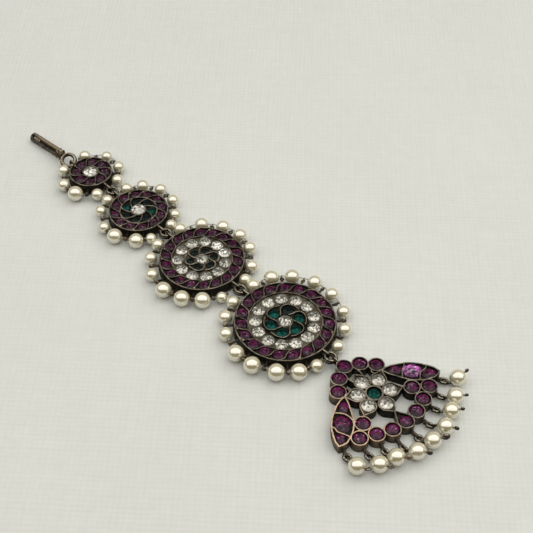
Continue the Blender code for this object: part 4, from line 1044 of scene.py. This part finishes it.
def drops():
    for number, (_, _, held, pearl, end, size) in enumerate(DROPS, start=1):
        # the ring leans away from the photograph's front, about the drop's own line
        line = (Vector(held) - Vector(DROPS[number - 1][0])).normalized()
        lean = math.copysign((14.0, 30.0, 26.0, 30.0, 12.0, 30.0, 28.0, 16.0, 12.0)[number - 1], -0.753 * line.y - 0.658 * line.x)
        tip_over = Matrix.Rotation(math.radians(lean), 4, Vector((line.x, line.y, 0)))
        ringlet = Piece(f"drop_link_{number}", PENDANT_SEAT @ Matrix.Translation(Vector((held[0], held[1], DROP_RING_HEIGHT + 0.02))) @ tip_over)
        cut = 40.0 * number
        ringlet.add(*wire([polar(DROP_RING, cut + 6 + 348 * k / 24) for k in range(25)], 0.37, 12, 0.2), slot=4, wear=0.0)
        ringlet.make(METALS, [f"drop_ring_{number}"])
        radius = DROP_PEARL / 2 + 0.09
        middle = Vector((pearl[0], pearl[1], radius))
        bore = (Vector((end[0], end[1], DROP_END_HEIGHT)) - middle).normalized()
        mouth = middle - bore * radius
        heading = Vector((mouth.x - held[0], mouth.y - held[1], 0)).normalized()
        loop = Vector((held[0], held[1], DROP_RING_HEIGHT)) + heading * DROP_RING
        body = Piece(f"drop_bead_{number}", PENDANT_SEAT)
        body.add(*_gem_ball(middle, radius, bore))
        made = body.make([PEARL], [f"drop_pearl_{number}"], sharp=60)
        pin = Piece(f"drop_pin_{number}", PENDANT_SEAT)
        path = []
        for k in range(9):
            angle = math.radians(-20 - 325 * k / 8)
            path.append(loop + heading * 0.43 * math.cos(angle) + Vector((0, 0, 0.43 * math.sin(angle))))
        path += [mouth + bore * 0.1, middle, middle + bore * radius]
        pin.add(*wire(path, 0.21, 8, 0.16), slot=4, wear=0.05)
        # beyond the pearl a flattened wire is curled over against it
        side = Vector((-bore.y, bore.x, 0)).normalized()
        lift = side.cross(bore).normalized()
        if number >= 8:
            coil, gauge, sweep_by = 0.50, 0.27, 330
            lift = Matrix.Rotation(math.radians(68), 3, bore) @ lift
        else:
            size *= 1.2
            coil, gauge, sweep_by = size * 0.60, size * 0.46, 290
        curl = []
        for k in range(14):
            angle = math.radians(-80 + sweep_by * k / 13)
            curl.append(middle + bore * (radius + gauge + coil * (1.02 + math.sin(angle))) + lift * coil * math.cos(angle))
        # drop 7's curl gets a higher lightening, a painted highlight
        pin.add(*wire(curl, gauge, 10, 0.16, start=side), slot=4, wear=0.05 + 0.4 * (number == 7))
        # three turns of wire round the neck between the loop and the pearl
        a, b = loop + heading * 0.35 + Vector((0, 0, 0.2)), mouth
        along = (b - a).normalized()
        s, t = along.orthogonal().normalized(), None
        t = along.cross(s)
        wrap = [a.lerp(b, k / 24) + s * 0.2 * math.cos(2 * math.pi * k / 8) + t * 0.2 * math.sin(2 * math.pi * k / 8) for k in range(25)]
        pin.add(*wire(wrap, 0.14, 6, 0.1), slot=4, wear=0.05)
        thread = pin.make(METALS)
        thread.parent = made
        thread.matrix_world = Matrix.Identity(4)


hook()
for number in DISCS:
    disc(number)
for name, (spot, heading) in LINKS.items():
    link(name, spot, heading)
pendant()
drops()

# ---------------------------------------------------------------- floor, camera and light
floor_mesh = bpy.data.meshes.new("floor")
SIDE = 2.5
floor_mesh.from_pydata([(-SIDE, -SIDE, -0.00002), (SIDE, -SIDE, -0.00002), (SIDE, SIDE, -0.00002), (-SIDE, SIDE, -0.00002)], [], [(0, 1, 2, 3)])
floor = bpy.data.objects.new("floor", floor_mesh)
floor.rotation_euler = (0, 0, math.radians(47.0))
floor_mesh.materials.append(floor_material())
bpy.context.scene.collection.objects.link(floor)

PITCH, ROLL, DISTANCE, FOCAL = math.radians(47.359), math.radians(0.606), 299.04, 1123.1
view = Vector((0, math.cos(PITCH), -math.sin(PITCH)))
right = Vector((1, 0, 0))
up = right.cross(view)
right_of = right * math.cos(ROLL) + up * math.sin(ROLL)
up_of = up * math.cos(ROLL) - right * math.sin(ROLL)
turn = PHOTO.to_3x3().normalized()
eye = PHOTO @ Vector((0, -DISTANCE * math.cos(PITCH), DISTANCE * math.sin(PITCH)))
axes = Matrix((turn @ right_of, turn @ up_of, turn @ (-view))).transposed()
lens = bpy.data.cameras.new("camera")
lens.sensor_width = 36.0
lens.sensor_fit = "AUTO"
lens.lens = FOCAL * 36.0 / 533.0
lens.clip_start = 0.01
camera = bpy.data.objects.new("camera", lens)
camera.matrix_world = Matrix.Translation(eye) @ axes.to_4x4()
bpy.context.scene.collection.objects.link(camera)
bpy.context.scene.camera = camera


def lamp(name, spot, aim, width, height, power, colour=(1, 1, 1), mirrored=True):
    data = bpy.data.lights.new(name, "AREA")
    data.shape = "RECTANGLE"
    data.size, data.size_y = width, height
    data.energy = power
    data.color = colour
    made = bpy.data.objects.new(name, data)
    place = PHOTO @ (Vector(spot) * 1000)
    target = PHOTO @ (Vector(aim) * 1000)
    ahead = (target - place).normalized()
    side = turn @ Vector((1, 0, 0))
    side = (side - ahead * side.dot(ahead)).normalized()
    made.matrix_world = Matrix.Translation(place) @ Matrix((side, ahead.cross(side) * -1, -ahead)).transposed().to_4x4()
    made.visible_glossy = mirrored
    bpy.context.scene.collection.objects.link(made)
    return made


lamp("overhead", (0.0, -0.075, 0.55), (0.0, -0.075, 0.0), 2.6, 0.83, 8.8, (1.0, 0.99, 0.965))
lamp("window", (0.52, 0.60, 0.60), (0.0, 0.0, 0.0), 1.15, 0.75, 3.6, (1.0, 0.985, 0.95), mirrored=False)

world = bpy.data.worlds.new("world")
bpy.context.scene.world = world
world.use_nodes = True
tree = world.node_tree
background = tree.nodes["Background"]
where = tree.nodes.new("ShaderNodeTexCoord")
away = tree.nodes.new("ShaderNodeVectorMath")
away.operation = "DOT_PRODUCT"
away.inputs[1].default_value = turn @ Vector((0, 1, 0))
tree.links.new(where.outputs["Generated"], away.inputs[0])
shade = tree.nodes.new("ShaderNodeValToRGB")
shade.color_ramp.elements[0].position = 0.2
shade.color_ramp.elements[0].color = (0.075, 0.060, 0.040, 1)
shade.color_ramp.elements[1].position = 0.75
shade.color_ramp.elements[1].color = (0.34, 0.335, 0.31, 1)
half = tree.nodes.new("ShaderNodeMath")
half.operation = "MULTIPLY_ADD"
half.inputs[1].default_value = 0.5
half.inputs[2].default_value = 0.5
tree.links.new(away.outputs["Value"], half.inputs[0])
tree.links.new(half.outputs[0], shade.inputs["Fac"])
tree.links.new(shade.outputs["Color"], background.inputs["Color"])
background.inputs["Strength"].default_value = 1.0

bpy.context.scene.view_settings.view_transform = "Standard"
bpy.context.scene.view_settings.look = "None"
bpy.context.scene.view_settings.exposure = 0.0
